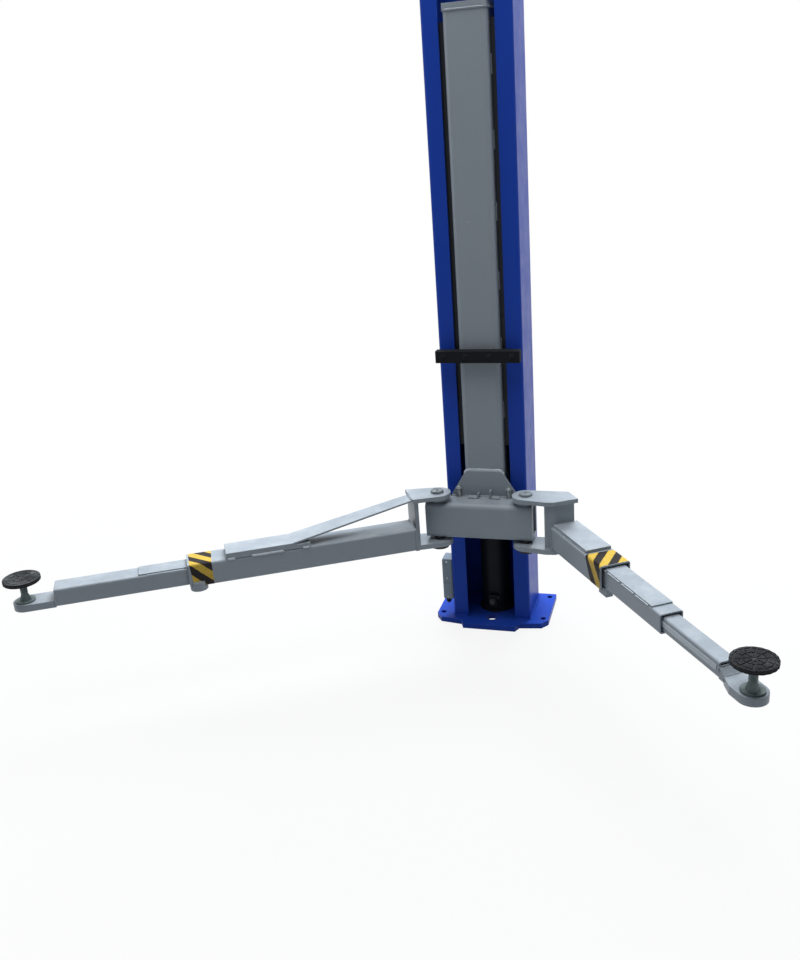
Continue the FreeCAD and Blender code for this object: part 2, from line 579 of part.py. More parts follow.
# Screw foot and rubber pad of each arm
for word, baseX, baseY, turn, along, across, top in (
        ("left", leftX, leftY, leftTurn, leftPad, s("leftTubeY"), s("leftPadTop")),
        ("right", rightX, rightY, rightTurn, rightPad, s("rightTubeY"), s("rightPadTop"))):
    spotX = baseX + times(along, cosine(turn)) - times(across, sine(turn))
    spotY = baseY + times(along, sine(turn)) + times(across, cosine(turn))
    deck = s("tipLow") + s("tipThick") + s("deckGap")
    heelLow = s("tipLow") + s("spigotLift")
    spigot = s("tipBore") - s("spigotFit")
    under = top - s("padThick") - s("padSteel")
    foot = turned(word + "_pad_foot", [
        (0, heelLow), (spigot, heelLow), (spigot, deck), (s("collarR"), deck),
        (s("collarR"), deck + s("collarThick")), (s("coneR"), deck + s("collarThick")),
        (s("stemR"), deck + s("coneHigh")), (s("stemR"), under), (s("padSteelR"), under),
        (s("padSteelR"), under + s("padSteel")), (0, under + s("padSteel"))])
    place(foot, spotX, spotY)
    rubber = turned(word + "_rubber_pad", [
        (0, under + s("padSteel")), (s("padSteelR"), under + s("padSteel")), (s("padSteelR"), under),
        (s("padR"), under), (s("padR"), top), (0, top)])
    place(rubber, spotX, spotY)

doc.recompute()
total = 0.0
for thing in doc.Objects:
    if "Invalid" in thing.State or "Error" in thing.State:
        raise RuntimeError("bad state in " + thing.Name)
for body in [thing for thing in doc.Objects if thing.TypeId == "PartDesign::Body"]:
    if body.Shape.isNull() or not body.Shape.isValid() or len(body.Shape.Solids) != 1:
        raise RuntimeError("bad solid in " + body.Label)
    body.Shape.exportStep("parts/%s.step" % body.Label)
    total += body.Shape.Volume
    box = body.Shape.BoundBox
    print("%-26s %9.1f cm3  x %7.1f %7.1f  y %7.1f %7.1f  z %7.1f %7.1f" % (
        body.Label, body.Shape.Volume / 1000, box.XMin, box.XMax, box.YMin, box.YMax, box.ZMin, box.ZMax))
print("solid volume %.5f m3, steel mass %.0f kg" % (total * 1e-9, total * 1e-9 * 7850))
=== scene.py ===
import json
import math

import bpy
import numpy as np
from mathutils import Matrix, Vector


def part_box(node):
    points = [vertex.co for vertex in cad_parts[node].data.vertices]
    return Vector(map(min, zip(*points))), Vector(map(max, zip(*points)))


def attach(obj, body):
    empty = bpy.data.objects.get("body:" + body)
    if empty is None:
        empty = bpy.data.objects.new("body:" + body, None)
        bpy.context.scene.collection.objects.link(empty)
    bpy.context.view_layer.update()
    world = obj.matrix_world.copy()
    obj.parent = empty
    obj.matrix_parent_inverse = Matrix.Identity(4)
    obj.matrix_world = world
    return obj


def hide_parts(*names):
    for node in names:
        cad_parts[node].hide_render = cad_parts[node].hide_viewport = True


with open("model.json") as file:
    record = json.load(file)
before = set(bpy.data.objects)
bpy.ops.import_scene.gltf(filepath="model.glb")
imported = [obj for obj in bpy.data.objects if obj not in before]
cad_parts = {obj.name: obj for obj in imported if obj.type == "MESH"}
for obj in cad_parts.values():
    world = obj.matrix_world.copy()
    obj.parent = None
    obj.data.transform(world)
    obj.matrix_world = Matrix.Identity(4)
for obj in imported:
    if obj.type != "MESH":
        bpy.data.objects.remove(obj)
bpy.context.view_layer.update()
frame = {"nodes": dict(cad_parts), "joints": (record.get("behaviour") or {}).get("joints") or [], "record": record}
nodes = frame["nodes"]
joints = {joint["name"]: joint for joint in frame["joints"]}
upward = np.array([0.0, 0.0, 1.0])
print("frame loaded,", len(nodes), "solids")

# Viewpoint of the picture: standing in front and to the right, looking a little down
cameraChoices = {
    "place": (0.725445, -3.433976, 1.838455),
    "turnLeft": 18.195,
    "lookDown": 20.236,
    "roll": -4.535,
    "lens": 37.859,
    "shift": (0.01224, 0.00321),
}


# Camera: sight is ahead dipped by the pitch, rise is square to it, and the roll spins right and top about it
def setCamera(choices):
    yaw, pitch, roll = (math.radians(choices[key]) for key in ("turnLeft", "lookDown", "roll"))
    level = np.array([math.cos(yaw), math.sin(yaw), 0.0])
    ahead = np.array([-math.sin(yaw), math.cos(yaw), 0.0])
    sight = ahead * math.cos(pitch) - upward * math.sin(pitch)
    rise = upward * math.cos(pitch) + ahead * math.sin(pitch)
    right = level * math.cos(roll) + rise * math.sin(roll)
    top = rise * math.cos(roll) - level * math.sin(roll)
    data = bpy.data.cameras.new("pictureCamera")
    data.lens = choices["lens"]
    data.sensor_width = 36
    data.shift_x, data.shift_y = choices["shift"]
    data.clip_start, data.clip_end = 0.05, 80
    camera = bpy.data.objects.new("pictureCamera", data)
    turn = Matrix(np.array([right, top, -sight]).T.tolist()).to_4x4()
    turn.translation = choices["place"]
    camera.matrix_world = turn
    bpy.context.scene.collection.objects.link(camera)
    bpy.context.scene.camera = camera


setCamera(cameraChoices)
print("camera set")

# Node helpers: short ways to add, set and join shader nodes; kinds leave out their common first words


def setInputs(tree, node, links):
    for key, value in links.items():
        if isinstance(value, bpy.types.NodeSocket):
            tree.links.new(value, node.inputs[key])
        else:
            node.inputs[key].default_value = value


def addNode(tree, kind, links=None, **settings):
    node = tree.nodes.new("ShaderNode" + kind)
    for key, value in settings.items():
        setattr(node, key, value)
    setInputs(tree, node, links or {})
    return node


def addMath(tree, operation, *values, clamp=False):
    links = dict(enumerate(values))
    return addNode(tree, "Math", links, operation=operation, use_clamp=clamp).outputs[0]


def times(tree, first, second, clamp=False):
    return addMath(tree, "MULTIPLY", first, second, clamp=clamp)


def plus(tree, first, second, clamp=False):
    return addMath(tree, "ADD", first, second, clamp=clamp)


def addRange(tree, value, low, high, toLow=0.0, toHigh=1.0):
    links = {"Value": value, "From Min": low, "From Max": high, "To Min": toLow, "To Max": toHigh}
    node = addNode(tree, "MapRange", links, clamp=True)
    node.interpolation_type = "SMOOTHSTEP"
    return node.outputs["Result"]


def addMix(tree, share, first, second):
    node = addNode(tree, "Mix", data_type="RGBA")
    for socket, value in zip((node.inputs[0], node.inputs[6], node.inputs[7]), (share, first, second)):
        if isinstance(value, bpy.types.NodeSocket):
            tree.links.new(value, socket)
        else:
            socket.default_value = (*value[:3], 1.0)
    return node.outputs[2]


def addNoise(tree, place, scale, detail=3.0, rough=0.55, warp=0.0):
    links = {"Vector": place, "Scale": scale, "Detail": detail, "Roughness": rough, "Distortion": warp}
    return addNode(tree, "TexNoise", links).outputs["Fac"]


def stretchPlace(tree, place, scale):
    return addNode(tree, "Mapping", {"Vector": place, "Scale": scale}).outputs["Vector"]


def newGroup(name, inputs, outputs):
    tree = bpy.data.node_groups.new(name, "ShaderNodeTree")
    for direction, sockets in (("INPUT", inputs), ("OUTPUT", outputs)):
        for label, kind in sockets.items():
            tree.interface.new_socket(label, in_out=direction, socket_type="NodeSocket" + kind)
    return tree, tree.nodes.new("NodeGroupInput").outputs, tree.nodes.new("NodeGroupOutput").inputs


# Sprayed paint: brightness is one plus four times the drift noise less a half; orange peel is finer noise
def makePaintGroup():
    tree, given, out = newGroup("sprayedPaint", {"Place": "Vector", "Colour": "Color", "Drift": "Float",
                                                 "Peel": "Float"},
                                {"Colour": "Color", "Roughness": "Float", "Height": "Float"})
    broad = addNoise(tree, given["Place"], 2.3, 4.0)
    middle = addNoise(tree, given["Place"], 17.0, 5.0, 0.6)
    drift = plus(tree, times(tree, broad, 0.7), times(tree, middle, 0.3))
    tone = times(tree, addMath(tree, "SUBTRACT", drift, 0.5), given["Drift"])
    bright = plus(tree, times(tree, tone, 4.0), 1.0)
    hue = addNode(tree, "HueSaturation", {"Value": bright, "Color": given["Colour"]})
    peel = addNoise(tree, given["Place"], given["Peel"], 2.0, 0.4)
    tree.links.new(hue.outputs["Color"], out["Colour"])
    tree.links.new(addRange(tree, middle, 0.3, 0.7, 0.9, 1.15), out["Roughness"])
    tree.links.new(plus(tree, times(tree, peel, 0.4), times(tree, middle, 0.8)), out["Height"])
    return tree


# Edge highlight and wear: rim grows as the rounded normal's dot product with the true one falls; it masks a
# painted edge highlight, and noise breaks it up for the wear
def makeEdgeGroup():
    tree, given, out = newGroup("edgeHighlightAndWear", {"Place": "Vector", "Radius": "Float", "Amount": "Float"},
                                {"Rim": "Float", "Wear": "Float", "Normal": "Vector"})
    rounded = addNode(tree, "Bevel", {"Radius": given["Radius"]}, samples=4).outputs["Normal"]
    plain = addNode(tree, "NewGeometry").outputs["Normal"]
    dot = addNode(tree, "VectorMath", {0: rounded, 1: plain}, operation="DOT_PRODUCT")
    rim = addRange(tree, dot.outputs["Value"], 0.995, 0.9)
    chips = plus(tree, addNoise(tree, given["Place"], 60.0, 6.0, 0.7),
                 times(tree, addNoise(tree, given["Place"], 7.0, 2.0), 0.6))
    wear = times(tree, rim, addRange(tree, chips, 0.86, 0.96))
    tree.links.new(rim, out["Rim"])
    tree.links.new(times(tree, wear, given["Amount"], clamp=True), out["Wear"])
    tree.links.new(rounded, out["Normal"])
    return tree


# Dust and scuffs: film is the normal's rise times a cloud noise, streaks are stretched noise in patches
def makeDustGroup():
    tree, given, out = newGroup("dustAndScuffs", {"Place": "Vector", "Dust": "Float", "Scuffs": "Float"},
                                {"Dust": "Float", "Scuff": "Float"})
    normal = addNode(tree, "NewGeometry").outputs["Normal"]
    tall = addNode(tree, "SeparateXYZ", {0: normal}).outputs["Z"]
    cloud = addNoise(tree, given["Place"], 11.0, 7.0, 0.65)
    film = times(tree, addRange(tree, tall, 0.35, 1.0), addRange(tree, cloud, 0.35, 0.75))
    streaks = [addNoise(tree, stretchPlace(tree, given["Place"], stretch), 1.0, 3.0, 0.6, 0.4)
               for stretch in ((190.0, 26.0, 210.0), (21.0, 170.0, 240.0))]
    patch = addRange(tree, addNoise(tree, given["Place"], 3.7, 3.0), 0.48, 0.66)
    streak = addRange(tree, addMath(tree, "MAXIMUM", *streaks), 0.66, 0.74)
    tree.links.new(times(tree, film, given["Dust"], clamp=True), out["Dust"])
    tree.links.new(times(tree, times(tree, streak, patch), given["Scuffs"], clamp=True), out["Scuff"])
    return tree


paintGroup, edgeGroup, dustGroup = makePaintGroup(), makeEdgeGroup(), makeDustGroup()


def startMaterial(name):
    material = bpy.data.materials.new(name)
    material.use_nodes = True
    tree = material.node_tree
    tree.nodes.clear()
    shader = addNode(tree, "BsdfPrincipled")
    addNode(tree, "OutputMaterial", {"Surface": shader.outputs[0]})
    place = addNode(tree, "TexCoord").outputs["Object"]
    return material, tree, shader, place


def useGroup(tree, group, links):
    return addNode(tree, "Group", links, node_tree=group).outputs


def addBump(tree, height, normal, strength, distance):
    links = {"Height": height, "Strength": strength, "Distance": distance}
    if normal is not None:
        links["Normal"] = normal
    return addNode(tree, "Bump", links).outputs["Normal"]


# Film: dust and scuffs added up, at most one, share in the film's colour
def addFilm(tree, dust, colour, filmColour):
    return addMix(tree, plus(tree, dust["Dust"], dust["Scuff"], clamp=True), colour, filmColour)


# Painted steel: drifted colour, pale rims as a painted edge highlight, chips to bare steel, dust on top
chipColour = (0.32, 0.31, 0.30)


def paintedSteel(name, choices):
    material, tree, shader, place = startMaterial(name)
    paint = useGroup(tree, paintGroup, {"Place": place, "Colour": (*choices["colour"], 1),
                                        "Drift": choices["drift"], "Peel": choices["peel"]})
    edge = useGroup(tree, edgeGroup, {"Place": place, "Radius": choices["edge"], "Amount": choices["wear"]})
    dust = useGroup(tree, dustGroup, {"Place": place, "Dust": choices["dust"], "Scuffs": choices["scuffs"]})
    # Paler colour along the rims is a painted edge highlight; the same colour also marks the real scuffs
    rim = times(tree, edge["Rim"], choices["rimHighlightShare"])
    colour = addMix(tree, rim, paint["Colour"], choices["highlightAndScuffColour"])
    colour = addMix(tree, dust["Scuff"], colour, choices["highlightAndScuffColour"])
    colour = addMix(tree, edge["Wear"], colour, chipColour)
    colour = addMix(tree, dust["Dust"], colour, choices["dustColour"])
    rough = times(tree, paint["Roughness"], choices["rough"])
    setInputs(tree, shader, {
        "Base Color": colour,
        "Roughness": plus(tree, rough, times(tree, dust["Dust"], 0.35), clamp=True),
        "Metallic": times(tree, edge["Wear"], 0.8),
        "Normal": addBump(tree, paint["Height"], edge["Normal"], choices["bump"], 0.0006),
        "Specular IOR Level": choices["shine"], "Coat Weight": choices["coat"], "Coat Roughness": 0.12})
    return material


# Values that a paint takes where it gives none of its own
commonPaint = {"drift": 0.08, "peel": 800.0, "edge": 0.002, "wear": 0.3, "rimHighlightShare": 0.3, "scuffs": 0.25,
    "bump": 0.12, "coat": 0.0}
paintChoices = {
    "bluePaint": {"colour": (0.011, 0.047, 0.335), "highlightAndScuffColour": (0.05, 0.13, 0.52),
        "dustColour": (0.11, 0.20, 0.50), "drift": 0.04, "peel": 850.0, "edge": 0.0022, "rough": 0.34,
        "dust": 0.06, "scuffs": 0.12, "bump": 0.08, "shine": 0.08},
    "greyPaint": {"colour": (0.212, 0.245, 0.280), "highlightAndScuffColour": (0.50, 0.55, 0.60),
        "dustColour": (0.44, 0.48, 0.51), "drift": 0.04, "edge": 0.003, "rimHighlightShare": 0.20, "rough": 0.38,
        "dust": 0.35, "bump": 0.10, "coat": 0.05, "shine": 0.22},
    "blackPaint": {"colour": (0.0045, 0.006, 0.009), "highlightAndScuffColour": (0.04, 0.04, 0.045),
        "dustColour": (0.05, 0.05, 0.052), "peel": 700.0, "rough": 0.5, "dust": 0.10, "scuffs": 0.2,
        "shine": 0.10},
    # Near-black wing paint: partly the wings' own dark colour, partly painted shade of the gaps beside the mast
    "darkShadedWingPaint": {"colour": (0.020, 0.024, 0.030), "highlightAndScuffColour": (0.09, 0.10, 0.11),
        "dustColour": (0.06, 0.065, 0.07), "rimHighlightShare": 0.2, "rough": 0.3, "dust": 0.1, "scuffs": 0.3,
        "shine": 0.12},
    # Paler grey than the arm paint for weld beads and the runner bar: a painted highlight on their lit edges
    "highlightGreyPaint": {"colour": (0.36, 0.41, 0.46), "highlightAndScuffColour": (0.5, 0.55, 0.6),
        "dustColour": (0.46, 0.50, 0.53), "drift": 0.06, "peel": 500.0, "edge": 0.001, "rimHighlightShare": 0.1,
        "rough": 0.36, "dust": 0.4, "bump": 0.15, "coat": 0.05, "shine": 0.3},
    "boxPaint": {"colour": (0.18, 0.23, 0.28), "highlightAndScuffColour": (0.34, 0.39, 0.44),
        "dustColour": (0.28, 0.31, 0.33), "drift": 0.05, "peel": 1000.0, "edge": 0.0018, "wear": 0.25,
        "rimHighlightShare": 0.4, "rough": 0.42, "dust": 0.25, "bump": 0.10, "shine": 0.2},
}
materials = {}
for name, choices in paintChoices.items():
    materials[name] = paintedSteel(name, {**commonPaint, **choices})

# Bare metal: machining lines round or along, light stain in the hollows, paler rims as a painted edge highlight,
# near black below a given height
lowDarkColour = (0.006, 0.007, 0.008)


def bareMetal(name, choices):
    material, tree, shader, place = startMaterial(name)
    rough, darkTop = choices["rough"], choices["darkBelow"]
    lines = addNoise(tree, stretchPlace(tree, place, choices["lines"]), 1.0, 2.0, 0.5)
    stain = addNoise(tree, place, choices["stainScale"], 6.0, 0.65)
    edge = useGroup(tree, edgeGroup, {"Place": place, "Radius": choices["edge"], "Amount": 0.0})
    dust = useGroup(tree, dustGroup, {"Place": place, "Dust": choices["film"], "Scuffs": 0.2})
    colour = addMix(tree, addRange(tree, stain, 0.42, 0.72), choices["colour"], choices["stain"])
    # Paler colour on the rims: a painted edge highlight
    colour = addMix(tree, times(tree, edge["Rim"], 0.4), colour, choices["rim"])
    colour = addFilm(tree, dust, colour, choices["filmColour"])
    height = addNode(tree, "SeparateXYZ", {0: place}).outputs["Z"]
    # Near black below the given height, fading in over four millimetres above it
    colour = addMix(tree, addRange(tree, height, darkTop + 0.004, darkTop), colour, lowDarkColour)
    setInputs(tree, shader, {
        "Base Color": colour,
        "Roughness": addRange(tree, stain, 0.3, 0.7, rough, rough + 0.2),
        "Normal": addBump(tree, lines, edge["Normal"], choices["bump"], 0.0003),
        "Metallic": choices["metallic"]})
    return material


# Values that a metal takes where it gives none of its own
commonMetal = {"lines": (500.0, 500.0, 160.0), "bump": 0.25, "darkBelow": -1.0}
metalChoices = {
    "zincSteel": {"colour": (0.42, 0.45, 0.46), "stain": (0.26, 0.29, 0.29), "rim": (0.66, 0.70, 0.72),
        "filmColour": (0.40, 0.41, 0.41), "lines": (700.0, 700.0, 90.0), "stainScale": 45.0, "rough": 0.34,
        "edge": 0.0016, "metallic": 0.85, "film": 0.15},
    "chromeRod": {"colour": (0.62, 0.63, 0.65), "stain": (0.50, 0.51, 0.53), "rim": (0.75, 0.76, 0.78),
        "filmColour": (0.5, 0.5, 0.5), "lines": (30.0, 30.0, 1800.0), "stainScale": 12.0, "rough": 0.12,
        "bump": 0.05, "edge": 0.001, "metallic": 1.0, "film": 0.0},
    "pinSteel": {"colour": (0.17, 0.20, 0.22), "stain": (0.08, 0.10, 0.11), "rim": (0.38, 0.42, 0.43),
        "filmColour": (0.42, 0.47, 0.51), "lines": (600.0, 600.0, 120.0), "stainScale": 55.0, "rough": 0.45,
        "bump": 0.2, "edge": 0.0016, "metallic": 0.4, "film": 0.9, "darkBelow": 0.420},
    "footSteel": {"colour": (0.075, 0.105, 0.108), "stain": (0.045, 0.070, 0.074),
        "rim": (0.26, 0.30, 0.31), "filmColour": (0.30, 0.36, 0.36), "stainScale": 50.0, "rough": 0.42,
        "bump": 0.12, "edge": 0.0014, "metallic": 0.35, "film": 0.9},
    "darkSteel": {"colour": (0.022, 0.024, 0.027), "stain": (0.012, 0.013, 0.015),
        "rim": (0.10, 0.11, 0.12), "filmColour": (0.08, 0.085, 0.09), "stainScale": 60.0, "rough": 0.36,
        "edge": 0.0012, "metallic": 0.7, "film": 0.1},
}
for name, choices in metalChoices.items():
    materials[name] = bareMetal(name, {**commonMetal, **choices})

# Rubber: near black, grey bloom where it looks up, paler rims as a painted edge highlight, fine moulded grain
rimHighlightColour = (0.16, 0.16, 0.165)


def makeRubber(name, choices):
    material, tree, shader, place = startMaterial(name)
    dust = useGroup(tree, dustGroup, {"Place": place, "Dust": choices["dust"], "Scuffs": 0.4})
    edge = useGroup(tree, edgeGroup, {"Place": place, "Radius": 0.0015, "Amount": 0.0})
    grain = addNoise(tree, place, choices["grain"], 4.0, 0.7)
    tone = addMix(tree, addRange(tree, grain, 0.3, 0.7), choices["colour"], choices["bloom"])
    # Paler rims: a painted edge highlight
    tone = addMix(tree, times(tree, edge["Rim"], choices["rim"]), tone, rimHighlightColour)
    setInputs(tree, shader, {
        "Base Color": addFilm(tree, dust, tone, choices["dustColour"]),
        "Roughness": addRange(tree, grain, 0.2, 0.8, 0.62, 0.85),
        "Normal": addBump(tree, grain, edge["Normal"], 0.35, 0.0006),
        "Specular IOR Level": choices["shine"]})
    return material


rubberChoices = {
    "padRubber": {"colour": (0.007, 0.008, 0.010), "bloom": (0.018, 0.020, 0.022), "dust": 0.95,
        "grain": 420.0, "rim": 0.6, "dustColour": (0.105, 0.112, 0.12), "shine": 0.12},
    "barRubber": {"colour": (0.005, 0.006, 0.008), "bloom": (0.010, 0.011, 0.013), "dust": 0.08,
        "grain": 300.0, "rim": 0.10, "dustColour": (0.04, 0.042, 0.045), "shine": 0.08},
}
materials.update({name: makeRubber(name, choices) for name, choices in rubberChoices.items()})

# Nylon: ivory, oil stained, with fine planing marks along its height
nylonColours = {"clean": (0.66, 0.63, 0.52), "oily": (0.34, 0.29, 0.20)}


def makeNylon(choices):
    material, tree, shader, place = startMaterial("nylonBlock")
    oil = addNoise(tree, place, 14.0, 5.0, 0.6)
    marks = addNoise(tree, stretchPlace(tree, place, (400.0, 400.0, 12.0)), 1.0, 2.0)
    setInputs(tree, shader, {
        "Base Color": addMix(tree, addRange(tree, oil, 0.4, 0.75), choices["clean"], choices["oily"]),
        "Roughness": addRange(tree, oil, 0.3, 0.7, 0.5, 0.28),
        "Normal": addBump(tree, marks, None, 0.3, 0.0004)})
    return material


materials["nylonBlock"] = makeNylon(nylonColours)

# Hazard tape: slanted bands read from the wrap attribute, frayed at their borders and dulled by handling
bandColours = {"yellow": (0.46, 0.315, 0.045), "soiledYellow": (0.27, 0.175, 0.035),
    "black": (0.010, 0.008, 0.008), "soiledBlack": (0.040, 0.030, 0.028)}
bandChoices = {
    "leftTape": {"acrossLean": 0.95, "upLean": -1.05, "period": 0.072, "offset": 0.70},
    "rightTape": {"acrossLean": 1.07, "upLean": 0.8, "period": 0.075, "offset": 0.52},
}


# Bands: the fraction of the leaned run over the period, plus the offset, tells yellow from black
def makeTape(name, choices, colours):
    material, tree, shader, place = startMaterial(name)
    wrap = addNode(tree, "Attribute", attribute_name="wrap").outputs["Vector"]
    parts = addNode(tree, "SeparateXYZ", {0: wrap}).outputs
    acrossRun = times(tree, parts["Y"], choices["acrossLean"])
    lean = plus(tree, acrossRun, times(tree, parts["Z"], choices["upLean"]))
    run = plus(tree, parts["X"], lean)
    ripple = times(tree, addMath(tree, "SUBTRACT", addNoise(tree, place, 130.0, 3.0), 0.5), 0.006)
    phase = plus(tree, addMath(tree, "DIVIDE", plus(tree, run, ripple), choices["period"]), choices["offset"])
    wave = addMath(tree, "ABSOLUTE", addMath(tree, "SUBTRACT", addMath(tree, "FRACT", phase), 0.5))
    soil = addRange(tree, addNoise(tree, place, 55.0, 6.0, 0.7), 0.42, 0.74)
    yellow = addMix(tree, times(tree, soil, 0.55), colours["yellow"], colours["soiledYellow"])
    black = addMix(tree, times(tree, soil, 0.4), colours["black"], colours["soiledBlack"])
    crease = addNoise(tree, stretchPlace(tree, place, (60.0, 60.0, 220.0)), 1.0, 4.0, 0.6)
    setInputs(tree, shader, {
        "Base Color": addMix(tree, addRange(tree, wave, 0.235, 0.265), yellow, black),
        "Roughness": addRange(tree, soil, 0.0, 1.0, 0.32, 0.55),
        "Normal": addBump(tree, crease, None, 0.25, 0.0006),
        "Specular IOR Level": 0.12})
    return material


materials.update({name: makeTape(name, choices, bandColours) for name, choices in bandChoices.items()})
print("materials ready,", len(materials))

# Which finish each slot of the record gets
slotFinish = {"blue_paint": "bluePaint", "grey_paint": "greyPaint", "black_paint": "blackPaint",
              "zinc_steel": "zincSteel", "chromed_rod": "chromeRod", "nylon": "nylonBlock",
              "box_grey": "boxPaint", "black_rubber": "barRubber"}
finishSlot = {finish: slot for slot, finish in slotFinish.items()}
finishSlot.update({"padRubber": "black_rubber", "darkSteel": "black_paint", "leftTape": "black_paint",
                   "rightTape": "black_paint", "footSteel": "zinc_steel", "pinSteel": "zinc_steel",
                   "highlightGreyPaint": "grey_paint", "darkShadedWingPaint": "grey_paint"})
# Guide wings take the near-black wing paint, part of which is painted shade of the gaps beside the mast
nodeFinish = {"left_pad_foot": "footSteel", "right_pad_foot": "footSteel", "pivot_pin_left": "pinSteel",
    "pivot_pin_right": "pinSteel", "guide_wing_left": "darkShadedWingPaint", "guide_wing_right": "darkShadedWingPaint"}
for row in frame["record"]["subparts"]:
    solid = nodes[row["node"]]
    solid.data.materials.clear()
    solid.data.materials.append(materials[nodeFinish.get(row["node"], slotFinish[row["material_slot"]])])

# Shape helpers: every form is a grid of points, rows by columns


def boxOf(node):
    low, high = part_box(node)
    return np.array(low), np.array(high)


def fullTurn(columns):
    return np.arange(columns) * 2 * np.pi / columns


# Points on level circles: radius times the angle's cosine and sine, beside the centre
def onCircle(centre, radius, angle, level):
    x, y = centre[0] + radius * np.cos(angle), centre[1] + radius * np.sin(angle)
    return np.stack(np.broadcast_arrays(x, y, level), -1)


# Grid of points to a closed skin: neighbours make quads, each end row closes on its own middle point
def skin(grid, wrapRows=False):
    rows, columns = grid.shape[:2]
    points = grid.reshape(-1, 3)
    i = np.arange(rows if wrapRows else rows - 1)[:, None]
    j = np.arange(columns)
    after, below = (j + 1) % columns, (i + 1) % rows * columns
    faces = [np.stack([i * columns + j, i * columns + after, below + after, below + j], -1).reshape(-1, 4)]
    if not wrapRows:
        points = np.vstack([points, grid[0].mean(0), grid[-1].mean(0)])
        first, head = rows * columns, (rows - 1) * columns
        faces += [np.stack([after, j, np.full(columns, first)], -1),
                  np.stack([head + j, head + after, np.full(columns, first + 1)], -1)]
    return turnOutward(points, faces)


# Signed volume, the sum of corner triple products over six, tells whether the faces look outward
def turnOutward(points, faces):
    volume = 0.0
    for block in faces:
        for k in range(1, block.shape[1] - 1):
            p, q, r = points[block[:, 0]], points[block[:, k]], points[block[:, k + 1]]
            volume += np.einsum("ij,ij->i", p, np.cross(q, r)).sum()
    return points, [block[:, ::-1] if volume < 0 else block for block in faces]


# Puts shapes in one mesh that rides on a body, with its finish
def addPiece(name, shapes, body, finish, smooth=40.0, wrap=None):
    starts = np.cumsum([0] + [len(points) for points, blocks in shapes])
    faces = [face for start, (points, blocks) in zip(starts, shapes)
             for block in blocks for face in (block + start).tolist()]
    mesh = bpy.data.meshes.new(name)
    mesh.from_pydata(np.vstack([points for points, blocks in shapes]).tolist(), [], faces)
    mesh.materials.append(materials[finish])
    if wrap is not None:
        layer = mesh.attributes.new("wrap", "FLOAT_VECTOR", "POINT")
        layer.data.foreach_set("vector", wrap.astype(np.float32).ravel())
    piece = bpy.data.objects.new(name, mesh)
    bpy.context.scene.collection.objects.link(piece)
    mesh.shade_smooth()
    mesh.set_sharp_from_angle(angle=math.radians(smooth))
    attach(piece, body)
    return piece


# Rectangle with round corners: quarter circles of the radius, every run cut into equal parts
def roundedOutline(width, height, radius, cuts=1):
    angles = np.linspace(0, np.pi / 2, 7)
    corner = np.stack([np.cos(angles), np.sin(angles)], -1) * radius
    parts = []
    for k, (x, y) in enumerate([(1, 1), (-1, 1), (-1, -1), (1, -1)]):
        turn = k * np.pi / 2
        spin = np.array([[np.cos(turn), -np.sin(turn)], [np.sin(turn), np.cos(turn)]])
        parts.append(corner @ spin.T + np.array([x * (width / 2 - radius), y * (height / 2 - radius)]))
    outline = np.vstack(parts)
    share = np.linspace(0, 1, cuts, endpoint=False)[None, :, None]
    return (outline[:, None] * (1 - share) + np.roll(outline, -1, 0)[:, None] * share).reshape(-1, 2)


# Turned form: each profile pair (radius, height) swept round the axis; lobes bend the radius with the angle
def turnedForm(profile, centre, axis=(0, 0, 1), columns=32, lobes=None):
    profile = np.asarray(profile, float)
    axis = np.asarray(axis, float) / np.linalg.norm(axis)
    helper = np.array([1.0, 0, 0]) if abs(axis[2]) > 0.9 else upward
    across = np.cross(helper, axis)
    across /= np.linalg.norm(across)
    beside = np.cross(axis, across)
    angle = fullTurn(columns)
    radius = profile[:, :1] * np.ones(columns)
    if lobes is not None:
        radius = lobes(profile, radius, angle)
    circle = np.cos(angle)[:, None] * across + np.sin(angle)[:, None] * beside
    return skin(np.asarray(centre, float) + radius[..., None] * circle + profile[:, 1, None, None] * axis)


# Hexagon: the flat's distance over the cosine of the angle to it, cut to a cone at the crown
def hexLobes(flat):
    def shape(profile, radius, angle):
        side = flat / np.cos((angle + np.pi / 6) % (np.pi / 3) - np.pi / 6)
        return np.minimum(radius, side[None, :])
    return shape


def hexHead(centre, axis, flat, tall):
    corner = flat / math.cos(math.pi / 6)
    profile = [(0.0, 0.0), (corner, 0.0), (corner, tall * 0.78), (corner * 0.93, tall * 0.93),
               (flat * 0.9, tall), (0.0, tall)]
    return turnedForm(profile, centre, axis, 48, hexLobes(flat))


# Axes of a block that lies flat on a front face: right, up and toward the viewer
frontFacing = ((1, 0, 0), (0, 0, 1), (0, -1, 0))


# Block with soft edges: stacked copies of one rounded outline, drawn in by a quarter circle at top and foot
def softBlock(size, corner, edge, origin, axes=frontFacing):
    width, depth, tall = size
    quarter = np.linspace(0, np.pi / 2, 5)
    inset = np.concatenate([edge * (1 - np.sin(quarter)), edge * (1 - np.sin(quarter[::-1]))])
    level = np.concatenate([edge * (1 - np.cos(quarter)), tall - edge * (1 - np.cos(quarter[::-1]))])
    shrink = np.stack([(width / 2 - inset) / (width / 2), (depth / 2 - inset) / (depth / 2)], -1)
    flat = roundedOutline(width, depth, corner)[None] * shrink[:, None]
    x, y, z = (np.asarray(part, float) for part in axes)
    return skin(np.asarray(origin, float) + flat[..., :1] * x + flat[..., 1:] * y + level[:, None, None] * z)


# Path to evenly spaced points, by walking its length
def evenPath(path, step, closed=False):
    path = np.asarray(path, float)
    if closed:
        path = np.vstack([path, path[:1]])
    lengths = np.linalg.norm(np.diff(path, axis=0), axis=1)
    walked = np.concatenate([[0], np.cumsum(lengths)])
    at = np.linspace(0, walked[-1], max(4, int(walked[-1] / step)), endpoint=not closed)
    return np.stack([np.interp(at, walked, path[:, k]) for k in range(3)], -1), at


